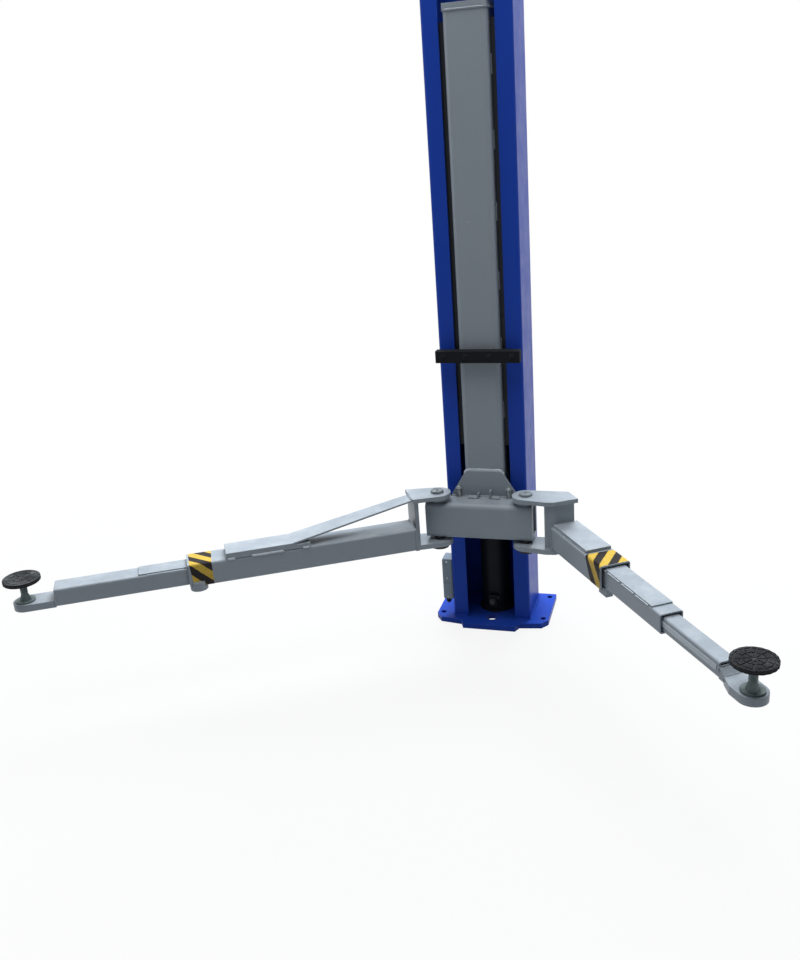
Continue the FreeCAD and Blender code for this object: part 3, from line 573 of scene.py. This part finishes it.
# Round bar along a path: circle of the given radius in the plane across the path at each point
def roundBar(path, radius, columns=8, closed=False):
    ahead = np.roll(path, -1, 0) - np.roll(path, 1, 0)
    if not closed:
        ahead[0], ahead[-1] = path[1] - path[0], path[-1] - path[-2]
    ahead /= np.linalg.norm(ahead, axis=1)[:, None]
    helper = np.eye(3)[int(np.argmin(np.abs(ahead).max(0)))]
    across = np.cross(helper, ahead)
    across /= np.linalg.norm(across, axis=1)[:, None]
    beside = np.cross(ahead, across)
    angle = fullTurn(columns)[:, None]
    circle = np.cos(angle) * across[:, None] + np.sin(angle) * beside[:, None]
    radius = np.broadcast_to(np.asarray(radius, float), (len(path),))[:, None, None]
    return skin(path[:, None] + radius * circle, wrapRows=closed)


weldChoices = {"step": 0.0011, "ripple": 0.0042, "depth": 0.22, "dome": 1.3, "tip": 0.25}


# Weld bead: bar whose radius is a rounded saw of the way along the path, times a dome at each free end
def weldBead(path, size, closed=False):
    path, walked = evenPath(path, weldChoices["step"], closed)
    drop = (walked / weldChoices["ripple"]) % 1.0
    wander = 1 + 0.06 * np.sin(walked * 210.0) + 0.05 * np.sin(walked * 87.0 + 1.3)
    radius = size * wander * (1 - weldChoices["depth"] * drop ** 2)
    if not closed:
        tip = weldChoices["tip"]
        left = np.clip(np.minimum(walked, walked[-1] - walked) / (size * weldChoices["dome"]), 0, 1)
        radius = radius * (tip + (1 - tip) * np.sqrt(1 - (1 - left) ** 2))
    return roundBar(path, radius, closed=closed)


def addWelds(name, shapes, body, finish="greyPaint"):
    addPiece(name, shapes, body, finish, 60.0)


# Arm frames: along the arm, across it and up, from the swing joint's pin
def armFrame(swing, reach):
    origin = np.array(joints[swing]["pos_m"], float) * [1, 1, 0]
    along = np.array(joints[reach]["axis"], float)
    return origin, along, np.cross(upward, along)


leftArm = armFrame("left_arm_swing", "left_arm_reach")
rightArm = armFrame("right_arm_swing", "right_middle_reach")


# Arm point to frame point: the pin plus each run times the arm's axis for it
def onArm(arm, points):
    points = np.asarray(points, float)
    return arm[0] + points[..., :1] * arm[1] + points[..., 1:2] * arm[2] + points[..., 2:] * upward


def armWelds(arm, runs, size, closed=False):
    return [weldBead(onArm(arm, run), size, closed) for run in runs]


# Bounds of a solid in an arm's frame: least and greatest run along it, across it and up
def armBox(arm, node):
    mesh = nodes[node].data
    points = np.empty(len(mesh.vertices) * 3)
    mesh.vertices.foreach_get("co", points)
    away = points.reshape(-1, 3) - arm[0]
    local = np.stack([away @ arm[1], away @ arm[2], away[:, 2]], -1)
    return local.min(0), local.max(0)


print("shape helpers ready")

# Hazard tape wrapped round the mouth of each outer tube
tapeSheet = {"lift": 0.0005, "bend": 0.008, "cuts": 6}
tapeChoices = {
    "left": {"arm": leftArm, "back": 0.083, "front": 0.011, "backSlant": (0.002, 0.0),
        "frontSlant": (0.0, 0.004)},
    "right": {"arm": rightArm, "back": 0.080, "front": 0.004, "backSlant": (0.003, -0.019),
        "frontSlant": (0.0, 0.001)},
}


# Tape: the tube's rounded outline by steps from its back to its front border, which lean by side and height
def addTape(side, choices):
    low, high = armBox(choices["arm"], side + "_outer_tube")
    size, middle = high - low, (high + low) / 2
    lift, bend, cuts = choices["lift"], choices["bend"], choices["cuts"]
    outline = roundedOutline(size[1], size[2], bend, cuts)
    grown = roundedOutline(size[1] + lift * 2, size[2] + lift * 2, bend + lift, cuts)
    lean = outline / (size[1:] / 2)
    wave = 0.0005 * np.sin(outline[:, 0] * 190.0 + outline[:, 1] * 260.0)
    back = high[0] - choices["back"] + lean @ choices["backSlant"] + wave
    front = high[0] - choices["front"] + lean @ choices["frontSlant"] + wave
    share = np.array([0.0, 0.0, 0.25, 0.5, 0.75, 1.0, 1.0])
    raised = np.array([0, 1, 1, 1, 1, 1, 0])[None, :, None]
    along = back[:, None] * (1 - share) + front[:, None] * share
    flat = outline[:, None] * (1 - raised) + grown[:, None] * raised
    grid = np.concatenate([along[..., None], flat + middle[1:]], -1)
    wrap = (grid - [high[0], *(middle[1:] - size[1:] / 2)]).reshape(-1, 3)
    shape = skin(onArm(choices["arm"], grid), wrapRows=True)
    addPiece(side + "_tape", [shape], side + "_arm", side + "Tape", 50.0, wrap)


for side, choices in tapeChoices.items():
    addTape(side, {**tapeSheet, **choices})
print("tape done")

# Rubber pads with moulded blocks
treadChoices = {"blocks": 10, "rimRing": 0.0505, "midRing": 0.030, "hub": 0.009, "groove": 0.0046,
    "cupRadius": 0.0512, "cupDeep": 0.0042, "middle": 0.0008, "round": 0.0022}
treadWear = {"left": {"inner": 5, "deep": 0.0022, "lump": 0.0003, "rimWave": 0.0003},
             "right": {"inner": 8, "deep": 0.0036, "lump": 0.0010, "rimWave": 0.0010}}


# Tread: depth is the deepest of ring and spoke grooves, each a smooth dip of the distance to its line,
# plus lumps, a product of waves by turn and radius
def addPad(side, choices):
    low, high = boxOf(side + "_rubber_pad")
    centre, outer = (low + high) / 2, (high[0] - low[0]) / 2
    values = (choices[key] for key in treadChoices)
    blocks, rimRing, midRing, hub, groove, cup, cupDeep, middle, inset = values
    angle = fullTurn(210)
    r, a = np.meshgrid(np.linspace(middle, outer - inset, 74), angle, indexing="ij")

    def dip(distance):
        return np.clip(1.35 - 1.35 * (np.abs(distance) / (groove / 2)) ** 2, 0, 1)

    def spokes(count, shift):
        turn = (a + shift) % (2 * np.pi / count) - np.pi / count
        return dip(r * np.sin(turn))

    cuts = [dip(r - rimRing), dip(r - midRing), spokes(blocks, 0.1) * (r > midRing),
            spokes(choices["inner"], 0.3) * (r < midRing) * (r > hub),
            spokes(blocks * 2, 0.0) * (r > rimRing) * 0.8, np.clip((hub - r) / 0.002, 0, 1) * 0.7]
    lumps = 0.5 + 0.5 * np.sin(a * 13 + 2.0 * np.sin(r * 210.0)) * np.cos(r * 330.0 + a * 4)
    top, foot = high[2], low[2]
    level = top - choices["deep"] * np.maximum.reduce(cuts) - choices["lump"] * lumps
    wall = np.array([(outer - 0.0006, top - 0.0008), (outer, top - 0.0024), (outer, top - 0.0060),
                     (outer - 0.0010, top - 0.0070), (outer, top - 0.0080), (outer, foot + 0.0015),
                     (outer - 0.0015, foot), (cup + 0.0006, foot), (cup, foot + 0.0006),
                     (cup, foot + cupDeep), (middle, foot + cupDeep)])
    scallop = choices["rimWave"] * (0.5 - 0.5 * np.cos(angle * blocks * 2))
    wallRadius = wall[:, :1] - scallop * (wall[:, :1] > cup + 0.002)
    grid = np.concatenate([onCircle(centre, r, a, level), onCircle(centre, wallRadius, angle, wall[:, 1:])])
    pad = addPiece(side + "_tread_pad", [skin(grid)], side + "_pad", "padRubber", 55.0)
    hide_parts(side + "_rubber_pad")


for side, wear in treadWear.items():
    addPad(side, {**treadChoices, **wear})

# Screw stem above each cone: thread height is a triangle wave of height over pitch less the turn
stemChoices = {"core": 0.0108, "tooth": 0.0014, "pitch": 0.004, "cup": 0.0223, "skip": 0.0265,
    "sunk": 0.0005, "fade": 0.002}


def addStem(side, choices):
    low, high = boxOf(side + "_pad_foot")
    pitch = choices["pitch"]
    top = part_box(side + "_rubber_pad")[0][2] + choices["sunk"]
    bottom = low[2] + choices["cup"] + choices["skip"]
    level = np.linspace(bottom, top, int((top - bottom) / (pitch / 10)))[:, None]
    angle = fullTurn(48)
    phase = (level / pitch - angle / (2 * np.pi)) % 1.0
    fade = np.clip(np.minimum(level - bottom, top - level) / choices["fade"], 0, 1)
    radius = choices["core"] + choices["tooth"] * (1 - np.abs(phase * 2 - 1)) * fade
    shape = skin(onCircle((low + high) / 2, radius, angle, level))
    addPiece(side + "_stem_thread", [shape], side + "_pad", "footSteel", 60.0)


for side in ("left", "right"):
    addStem(side, stemChoices)
print("pads done")


# Path with its corners eased: a quadratic curve from side to side of every inner corner
def easedPath(corners, ease):
    corners = np.asarray(corners, float)
    before, corner, after = corners[:-2], corners[1:-1], corners[2:]
    toward, onward = before - corner, after - corner
    first = corner + toward * np.minimum(ease / np.linalg.norm(toward, axis=1), 0.45)[:, None]
    last = corner + onward * np.minimum(ease / np.linalg.norm(onward, axis=1), 0.45)[:, None]
    t = np.linspace(0, 1, 7)[None, :, None]
    turned = (1 - t) ** 2 * first[:, None] + 2 * t * (1 - t) * corner[:, None] + t ** 2 * last[:, None]
    return np.vstack([corners[:1], turned.reshape(-1, 3), corners[-1:]])


# Short stitches in a long run: equal lengths, with equal gaps left between them
def stitches(start, end, length, count):
    start, end = np.asarray(start, float), np.asarray(end, float)
    run = end - start
    half = length / np.linalg.norm(run) / 2
    centres = (np.arange(count) + 0.5) / count
    return [[start + run * (c - half), start + run * (c + half)] for c in centres]


# Loop round a tube at its inner end: its rounded outline, cut into short runs
def tubeLoop(low, high, bend):
    size, middle = high - low, (high + low) / 2
    outline = roundedOutline(size[1], size[2], bend, 4)
    return np.column_stack([np.full(len(outline), low[0]), outline + middle[1:]])


# Column: foot and head seams, and two rings round the cylinder's foot, each a radius and a height
columnBeads = {"lip": 0.089, "size": 0.0048, "bend": 0.012, "ring": 0.0035,
               "rings": ((0.062, 0.0), (0.054, 0.012))}
postLow, postHigh = boxOf("column_post")


def postSeam(level, choices):
    x, front, back, lip = postHigh[0], postLow[1], postHigh[1], choices["lip"]
    path = easedPath([(-lip, front, level), (-x, front, level), (-x, back, level), (x, back, level),
                      (x, front, level), (lip, front, level)], choices["bend"])
    return [weldBead(path, choices["size"])]


def cylinderSeams(choices):
    return [weldBead(onCircle((0, 0), radius, fullTurn(60), postLow[2] + rise), choices["ring"], True)
            for radius, rise in choices["rings"]]


addWelds("column_foot_weld", postSeam(postLow[2], columnBeads), "column", "bluePaint")
addWelds("column_head_weld", postSeam(postHigh[2], columnBeads), "column", "bluePaint")
addWelds("cylinder_foot_weld", cylinderSeams(columnBeads), "column", "blackPaint")
print("column seams done")

# Carriage: gusset, yoke and mast seams, with a thick crown on the gusset's bent top
carriageBeads = {"size": 0.0042, "thin": 0.003, "crown": 0.0075, "gussetTop": 0.060, "shoulder": 0.606,
    "stitch": 0.06, "stitchLine": -0.092, "stitchSpan": (0.72, 2.06), "count": 6}
yokeLow, yokeHigh = boxOf("carriage_yoke")


def carriageSeams(choices):
    gussetLow, gussetHigh = boxOf("yoke_gusset")
    mastLow, mastHigh = boxOf("carriage_mast")
    foot, top, front = gussetLow[2], gussetHigh[2], gussetLow[1]
    mast, face, back, head = mastHigh[0], mastLow[1], mastHigh[1], mastHigh[2]
    size, thin, half, shoulder = (choices[key] for key in ("size", "thin", "gussetTop", "shoulder"))
    crown = easedPath([(-mast, face, shoulder - 0.004), (-half, face, top), (half, face, top),
                       (mast, face, shoulder - 0.004)], 0.008)
    # The crown takes the paler grey: a painted highlight on the gusset's lit top edge
    addWelds("gusset_crown_weld", [weldBead(crown, choices["crown"])], "carriage", "highlightGreyPaint")
    beads = [([(gussetLow[0] + 0.004, front, foot), (gussetHigh[0] - 0.004, front, foot)], size)]
    for side in (-1, 1):
        edge, flank = side * (mast - 0.003), side * (mast + 0.0005)
        beads.append(([(edge, face + 0.001, foot + 0.002), (edge, face + 0.001, shoulder - 0.01)], thin))
        ends = [(flank, choices["stitchLine"], level) for level in choices["stitchSpan"]]
        beads += [(path, thin) for path in stitches(*ends, choices["stitch"], choices["count"])]
    beads.append((easedPath([(-mast, back, head), (-mast, face, head), (mast, face, head), (mast, back, head),
                             (-mast, back, head)], 0.016), size))
    under = yokeLow[2] - 0.0005
    beads.append(([(-mast + 0.016, face, under), (mast - 0.016, face, under)], size))
    return [weldBead(path, thick) for path, thick in beads]


addWelds("carriage_welds", carriageSeams(carriageBeads), "carriage")

# Bumper bar: dome headed screws sunk in turned cups along its front
barScrews = {"spots": (-0.118, -0.04, 0.04, 0.118), "head": 0.0075}


def addBarScrews(choices):
    low, high = boxOf("bumper_bar")
    r = choices["head"]
    profile = [(0.0, -0.0015), (r * 1.55, -0.0015), (r * 1.55, 0.0006), (r * 1.3, 0.0012), (r * 1.05, 0.0012),
               (r, 0.0016), (r, 0.0024), (r * 0.9, 0.0036), (r * 0.6, 0.0048), (r * 0.34, 0.0052),
               (r * 0.3, 0.0034), (0.0, 0.0034)]
    level = (low[2] + high[2]) / 2
    shapes = [turnedForm(profile, (x, low[1], level), (0, -1, 0), 36) for x in choices["spots"]]
    addPiece("bar_screws", shapes, "carriage", "barRubber")


addBarScrews(barScrews)

# Small angle brackets standing on the yoke: near edge, far edge and height of each, feet outward
bracketChoices = {"thick": 0.005, "heel": 0.007, "front": -0.170, "back": -0.147, "bead": 0.0028,
    "feet": ((-0.015, -0.055, 0.019), (0.024, 0.058, 0.030))}


# Bracket: an L outline with a round heel, carried from front to back and returned along its inner side
def angleShape(near, far, tall, choices):
    top, thick, bend = yokeHigh[2], choices["thick"], choices["heel"]
    sign = 1.0 if far > near else -1.0
    angle = np.linspace(np.pi, np.pi * 1.5, 7)

    def arc(radius):
        level = top + bend + radius * np.sin(angle)
        return np.stack([near + sign * (bend + radius * np.cos(angle)), level], -1)

    outer = np.vstack([[near, top + tall], arc(bend), [far, top]])
    inner = np.vstack([[near + sign * thick, top + tall], arc(bend - thick), [far, top + thick]])
    depth = np.linspace(choices["front"], choices["back"], 5)
    sheets = [np.stack(np.broadcast_arrays(line[:, :1], run, line[:, 1:]), -1)
              for line, run in ((outer, depth), (inner, depth[::-1]))]
    return skin(np.concatenate(sheets, 1))


def brackets(choices):
    shapes = []
    for near, far, tall in choices["feet"]:
        ends = [(far, choices["front"] + 0.003, yokeHigh[2]), (far, choices["back"] - 0.003, yokeHigh[2])]
        shapes += [angleShape(near, far, tall, choices), weldBead(ends, choices["bead"])]
    return shapes


addPiece("yoke_brackets", brackets(bracketChoices), "carriage", "greyPaint")

# Springs, washers and split pins of the two arm lock rods
lockChoices = {"wire": 0.0012, "mean": 0.0088, "turns": 5.5, "low": 0.0015, "high": 0.030, "washer": 0.0115}


# Spring: a helix, flat for its first and last turn, whose wire is a round bar
def lockSet(node, choices):
    wire, mean, turns, start, end, r = (choices[key] for key in lockChoices)
    low, high = boxOf(node)
    centre = (low + high) / 2
    base = yokeHigh[2]
    turn = np.linspace(0, 1, int(turns * 40))
    rise = np.clip((turn * turns - 0.8) / (turns - 1.6), 0, 1)
    coil = onCircle(centre, mean, turn * turns * 2 * np.pi, base + start + rise * (end - start))
    spot = np.array([centre[0], centre[1], base + end + wire])
    washer = turnedForm([(0.0, 0.0), (r * 0.94, 0.0), (r, 0.0005), (r, 0.0017), (r * 0.94, 0.0022),
                         (0.0, 0.0022)], spot)
    pin = spot + [(-0.011, 0, 0.0038), (0, 0, 0.0036), (0.009, 0, 0.0038), (0.0125, -0.001, 0.0046)]
    return [roundBar(coil, wire), washer, roundBar(pin, 0.0012, 10)]


lockShapes = lockSet("lock_rod_left", lockChoices) + lockSet("lock_rod_right", lockChoices)
addPiece("lock_springs", lockShapes, "carriage", "pinSteel", 50.0)

# Pivot pins: raised retaining ring and a grease nipple on each head
pinChoices = {"outer": 0.0222, "inner": 0.0155, "tall": 0.0026, "nipple": 0.0042}


def pinTop(node, choices):
    low, high = boxOf(node)
    outer, inner, tall, nipple = (choices[key] for key in pinChoices)
    ring = [(0.0, -0.0008), (outer, -0.0008), (outer, tall * 0.6), (outer * 0.97, tall), (inner, tall),
            (inner * 0.97, 0.0006)]
    crown = [(1.3, 0.0006), (1.25, 0.0022), (0.7, 0.0026), (0.55, 0.0046), (0.72, 0.0056), (0.55, 0.0070),
             (0.2, 0.0076), (0.0, 0.0076)]
    profile = ring + [(nipple * share, level) for share, level in crown]
    return turnedForm(profile, (*((low + high) / 2)[:2], high[2]), columns=44)


pinShapes = [pinTop(node, pinChoices) for node in ("pivot_pin_left", "pivot_pin_right")]
addPiece("pin_rings", pinShapes, "carriage", "pinSteel", 45.0)
print("carriage pieces done")

# Side box: folded lid on its front with three screws, and a cable gland under it
boxChoices = {"lid": 0.0022, "margin": 0.0015, "corner": 0.003, "edge": 0.0008, "screw": 0.0036,
    "screwRows": (0.010, 0.086), "gland": 0.0105, "drop": 0.026}


def addBoxParts(choices):
    low, high = boxOf("side_box")
    lidThick, margin, r, g, drop = (choices[key] for key in ("lid", "margin", "screw", "gland", "drop"))
    wide, tall = high[0] - low[0] - 0.003, high[2] - low[2] - margin * 2
    x, y, z = low[0] + wide / 2, low[1] + 0.0003, low[2] + margin + tall / 2
    lid = softBlock((wide, tall, lidThick), choices["corner"], choices["edge"], (x, y, z))
    step = softBlock((wide * 0.82, tall * 0.36, lidThick), choices["corner"], choices["edge"],
                     (x, y - lidThick, z - tall * 0.27))
    addPiece("side_box_lid", [lid, step], "column", "boxPaint")
    dome = [(0.0, -0.0005), (r, -0.0005), (r, 0.0008), (r * 0.8, 0.0018), (r * 0.4, 0.0023), (0.0, 0.0023)]
    heights = (*choices["screwRows"], high[2] - low[2] - choices["screwRows"][0])
    screws = [turnedForm(dome, (x, y - lidThick, low[2] + height), (0, -1, 0), 20) for height in heights]
    addPiece("side_box_screws", screws, "column", "zincSteel")
    place = (low[0] + 0.0125, (low[1] + high[1]) / 2 - 0.006, low[2])
    nut = hexHead(place, (0, 0, -1), g * 0.92, 0.007)
    profile = [(0.0, 0.0), (g * 0.8, 0.0), (g * 0.8, 0.008), (g * 0.98, 0.009), (g * 0.98, 0.018),
               (g * 0.86, 0.022), (g * 0.62, drop - 0.001), (g * 0.5, drop), (0.0, drop)]

    def ribs(profile, radius, angle):
        return radius * (1 - 0.03 * (np.sin(angle * 12) > 0.3))

    collar = turnedForm(profile, place, (0, 0, -1), 40, ribs)
    addPiece("side_box_gland", [nut, collar], "column", "blackPaint")


addBoxParts(boxChoices)

# Hydraulic port on the cylinder's foot: block, hexagon and banjo ring
portChoices = {"wide": 0.032, "deep": 0.024, "tall": 0.046, "low": 0.048, "front": -0.0525}


def addPort(choices):
    wide, deep, tall, low, front = (choices[key] for key in portChoices)
    block = softBlock((wide, tall, deep), 0.004, 0.0018, (0, front + 0.004, low + tall / 2))
    spot = (0.0, front + 0.004 - deep, low + tall * 0.55)
    nut = hexHead(spot, (0, -1, 0), 0.0105, 0.009)
    neck = turnedForm([(0.0, 0.0), (0.0075, 0.0), (0.0075, 0.012), (0.0095, 0.0125), (0.0095, 0.019),
                       (0.008, 0.0205), (0.0035, 0.0205), (0.003, 0.017), (0.0, 0.017)], spot, (0, -1, 0))
    plug = hexHead((wide / 2 - 0.001, front - deep * 0.4, low + tall * 0.72), (1, 0, 0), 0.007, 0.006)
    addPiece("cylinder_port", [block], "column", "blackPaint")
    addPiece("port_fitting", [nut, neck, plug], "column", "darkSteel")


addPort(portChoices)
print("column fittings done")

# Arm seams: roots, head plates, brace, strips, tips and stop lugs
stageBeads = {"left": {"size": 0.0026, "out": 0.0040, "drop": 0.0012, "long": 0.125, "count": 2},
              "right": {"size": 0.0022, "out": 0.0022, "drop": 0.0006, "long": 0.072, "count": 4}}
armBeads = {"size": 0.0042, "thin": 0.003, "bend": 0.009, "coverStitch": 0.05, "coverCount": 3,
    "stitchSpans": ((0.570, 0.680), (0.735, 0.762), (0.48, 0.505))}
headPlateLow = armBox(leftArm, "left_top_plate")[0]
plateSeam = headPlateLow[2] + 0.005


def leftArmSeams(choices):
    size, thin = choices["size"], choices["thin"]
    low, high = armBox(leftArm, "left_outer_tube")
    headLow = armBox(leftArm, "left_head")[0]
    braceHigh = armBox(leftArm, "left_brace")[1]
    side, face, top = low[1], high[1], high[2]
    end, back, front, plate, foot = headLow[0] + 0.015, headPlateLow[1] + 0.004, 0.036, plateSeam, headLow[2]
    runs = [[(end, back, plate), (end, front, plate)], [(end - 0.013, front, plate), (end, front, plate)],
            [(end - 0.013, front, foot), (end, front, foot)], [(end, back, foot), (end, side, foot)],
            [(0.1, side, foot), (0.1, front, foot)], [(end, side, top - 0.03), (end, side, foot)],
            [(end, front, foot), (end, front, 0.412)],
            [(0.1005, -0.034, braceHigh[2]), (0.1005, 0.026, braceHigh[2])],
            [(braceHigh[0], -0.003, top), (braceHigh[0], face - 0.004, top)],
            [(0.478, 0.0, top), (0.478, face - 0.006, top)],
            [(braceHigh[0] - 0.004, -0.0053, top), (0.482, -0.0053, top)]]
    stitch = [[(x, face - 0.0005, top - 0.0005) for x in span] for span in choices["stitchSpans"]]
    addWelds("left_arm_stitches", armWelds(leftArm, stitch, size * 1.2), "left_arm", "highlightGreyPaint")
    lug = [[(0.846, face + 0.0005, 0.395), (0.888, face + 0.0005, 0.395)]]
    root = [tubeLoop(low, high, choices["bend"])]
    return armWelds(leftArm, root, thin, True) + armWelds(leftArm, runs, size) + armWelds(leftArm, lug, thin)


# Strip seams: rows of stitches a little outside both edges of a strip, a little under its foot
def stageSeams(arm, strip, choices):
    low, high = armBox(arm, strip)
    level = low[2] - choices["drop"]
    runs = []
    for y in (low[1] - choices["out"], high[1] + choices["out"]):
        ends = [(x, y, level) for x in (low[0] + 0.01, high[0] - 0.01)]
        runs += stitches(*ends, choices["long"], choices["count"])
    return armWelds(arm, runs, choices["size"])


# Tip seams: one across the tube's end and one short run down each of its sides
def tipSeams(arm, tube, ahead, level, size):
    low, high = armBox(arm, tube)
    start = high[0] + ahead
    runs = [[(start, low[1] + 0.004, level), (start, high[1] - 0.004, level)]]
    runs += [[(start, y, level), (start, y, level - 0.018)] for y in (low[1] + 0.0005, high[1] - 0.0005)]
    return armWelds(arm, runs, size)


def rightArmSeams(choices):
    size, thin = choices["size"], choices["thin"]
    low, high = armBox(rightArm, "right_outer_tube")
    headLow, headHigh = armBox(rightArm, "right_head")
    coverLow, coverHigh = armBox(rightArm, "right_cover_strip")
    lugLow, lugHigh = armBox(rightArm, "right_stop_lug")
    plate, foot, face, far, bend = plateSeam, headLow[2], low[0], headHigh[1], 0.062
    runs = [[(face - 0.018, 0.030, plate), (face, bend, plate), (face, far, plate)],
            [(face - 0.018, 0.030, foot), (face, bend, foot)],
            [(face, far, plate), (headLow[0], far, plate)]]
    thinRuns = []
    for y in (coverLow[1], coverHigh[1]):
        ends = [(x, y, coverLow[2]) for x in (coverLow[0] + 0.012, coverHigh[0] - 0.006)]
        thinRuns += stitches(*ends, choices["coverStitch"], choices["coverCount"])
    thinRuns += [[(lugLow[0] + 0.003, y, lugHigh[2]), (lugHigh[0] - 0.003, y, lugHigh[2])]
                 for y in (lugLow[1], lugHigh[1])]
    root = [tubeLoop(low, high, choices["bend"])]
    shapes = armWelds(rightArm, root, size, True) + armWelds(rightArm, runs, size)
    return shapes + armWelds(rightArm, thinRuns, thin)


# Runner bar along the front of the shortest tube, just under its upper bend, with a bead along its foot
runnerChoices = {"start": 0.700, "end": 1.030, "wide": 0.017, "thick": 0.0024, "level": 0.4175,
    "bead": 0.0016}


def addRunner(choices):
    start, end, wide, thick, level, size = (choices[key] for key in runnerChoices)
    face = armBox(rightArm, "right_inner_tube")[0][1]
    centre = onArm(rightArm, ((end + start) / 2, face + 0.0004, level))
    bar = softBlock((end - start, wide, thick), 0.004, 0.0009, centre, (rightArm[1], upward, -rightArm[2]))
    edge = [[(x, face - 0.0003, level - wide / 2) for x in (start + 0.02, end - 0.004)]]
    shapes = [bar, *armWelds(rightArm, edge, size)]
    # The runner takes the paler grey: a painted highlight on its lit upper edge
    addPiece("right_inner_runner", shapes, "right_extension", "highlightGreyPaint")


addRunner(runnerChoices)
leftStrip = stageSeams(leftArm, "left_inner_strip", stageBeads["left"])
rightStrip = stageSeams(rightArm, "right_middle_strip", stageBeads["right"])
rightTips = [*tipSeams(rightArm, "right_inner_tube", 0.0, 0.4256, 0.003),
             *tipSeams(rightArm, "right_inner_tube", 0.022, 0.408, 0.0034)]
addWelds("left_arm_welds", leftArmSeams(armBeads), "left_arm")
addWelds("left_extension_welds", tipSeams(leftArm, "left_inner_tube", 0.0, 0.408, 0.0036), "left_extension")
addWelds("left_strip_stitches", leftStrip, "left_extension", "highlightGreyPaint")
addWelds("right_arm_welds", rightArmSeams(armBeads), "right_arm")
addWelds("right_middle_welds", rightStrip, "right_middle", "highlightGreyPaint")
addWelds("right_extension_welds", rightTips, "right_extension")
print("arm seams done")

# Floor, backdrop and lamps
studio = {"floor": (0.42, 0.43, 0.44), "white": 1.0, "showThrough": 0.88, "near": 1.2, "far": 3.2, "reach": 14,
    "level": -0.0006, "worldLight": 0.11, "worldTint": (0.93, 0.96, 1.0)}


# One where the camera, a mirror or a clear thing looks straight at the surface, nought for its light
def seenDirectly(tree):
    path = addNode(tree, "LightPath").outputs
    through = addMath(tree, "MAXIMUM", path["Is Glossy Ray"], path["Is Transmission Ray"])
    return addMath(tree, "MAXIMUM", path["Is Camera Ray"], through)


# Floor: shows as plain white, with a share of real shade that fades out from the near to the far distance
def floorWhite(choices):
    material = bpy.data.materials.new("floorWhite")
    material.use_nodes = True
    tree = material.node_tree
    tree.nodes.clear()
    spot = addNode(tree, "TexCoord").outputs["Object"]
    away = addNode(tree, "VectorMath", {0: spot}, operation="LENGTH").outputs["Value"]
    share = addRange(tree, away, choices["near"], choices["far"], choices["showThrough"], 1.0)
    matte = addNode(tree, "BsdfDiffuse", {"Color": (*choices["floor"], 1)})
    glow = addNode(tree, "Emission", {"Color": (1, 1, 1, 1), "Strength": choices["white"]})
    seen = times(tree, seenDirectly(tree), share)
    mix = addNode(tree, "MixShader", {0: seen, 1: matte.outputs[0], 2: glow.outputs[0]})
    addNode(tree, "OutputMaterial", {"Surface": mix.outputs[0]})
    return material


def addFloor(choices):
    ring = onCircle((0, 0), choices["reach"], fullTurn(96), choices["level"])
    mesh = bpy.data.meshes.new("floor")
    mesh.from_pydata(ring.tolist(), [], [list(range(len(ring)))])
    mesh.materials.append(floorWhite(choices))
    floor = bpy.data.objects.new("floor", mesh)
    bpy.context.scene.collection.objects.link(floor)


def setWorld(choices):
    world = bpy.data.worlds.new("studio")
    world.use_nodes = True
    tree = world.node_tree
    tree.nodes.clear()
    tint, strength = (*choices["worldTint"], 1), choices["worldLight"]
    dim = addNode(tree, "Background", {"Color": tint, "Strength": strength})
    white = addNode(tree, "Background", {"Color": (1, 1, 1, 1), "Strength": choices["white"]})
    links = {0: seenDirectly(tree), 1: dim.outputs[0], 2: white.outputs[0]}
    mix = addNode(tree, "MixShader", links)
    addNode(tree, "OutputWorld", {"Surface": mix.outputs[0]})
    bpy.context.scene.world = world


# The lamp behind is kept out of mirror rays, as its glare would whiten the flat tops
lampCommon = {"size": (2.4, 2.4), "tint": (1, 1, 1), "mirrored": True}
lampChoices = {
    "topBack": {"place": (-0.4, 3.6, 4.6), "aim": (0, 0, 0.5), "size": (5.0, 3.0), "power": 820,
        "tint": (0.95, 0.98, 1), "mirrored": False},
    "overhead": {"place": (0.3, -0.8, 4.9), "aim": (0, -0.6, 0.4), "size": (4.0, 3.0), "power": 205},
    "sideFill": {"place": (4.2, -1.6, 1.8), "aim": (0, 0, 0.6), "power": 9},
    "leftFill": {"place": (-4.4, -1.0, 2.4), "aim": (0, -0.4, 0.5), "power": 44},
}


# Lamp: its back is the unit run from aim to place, its side is level, across its back
def addLamp(name, choices):
    data = bpy.data.lights.new(name, "AREA")
    data.shape = "RECTANGLE"
    data.size, data.size_y = choices["size"]
    data.energy = choices["power"]
    data.color = choices["tint"]
    lamp = bpy.data.objects.new(name, data)
    lamp.visible_glossy = choices["mirrored"]
    place, aim = np.array(choices["place"], float), np.array(choices["aim"], float)
    back = (place - aim) / np.linalg.norm(place - aim)
    side = np.cross(upward, back)
    side /= np.linalg.norm(side)
    turn = Matrix(np.array([side, np.cross(back, side), back]).T.tolist()).to_4x4()
    turn.translation = choices["place"]
    lamp.matrix_world = turn
    bpy.context.scene.collection.objects.link(lamp)


addFloor(studio)
setWorld(studio)
for name, choices in lampChoices.items():
    addLamp(name, {**lampCommon, **choices})
bpy.context.scene.view_settings.view_transform = "Standard"
print("studio set")
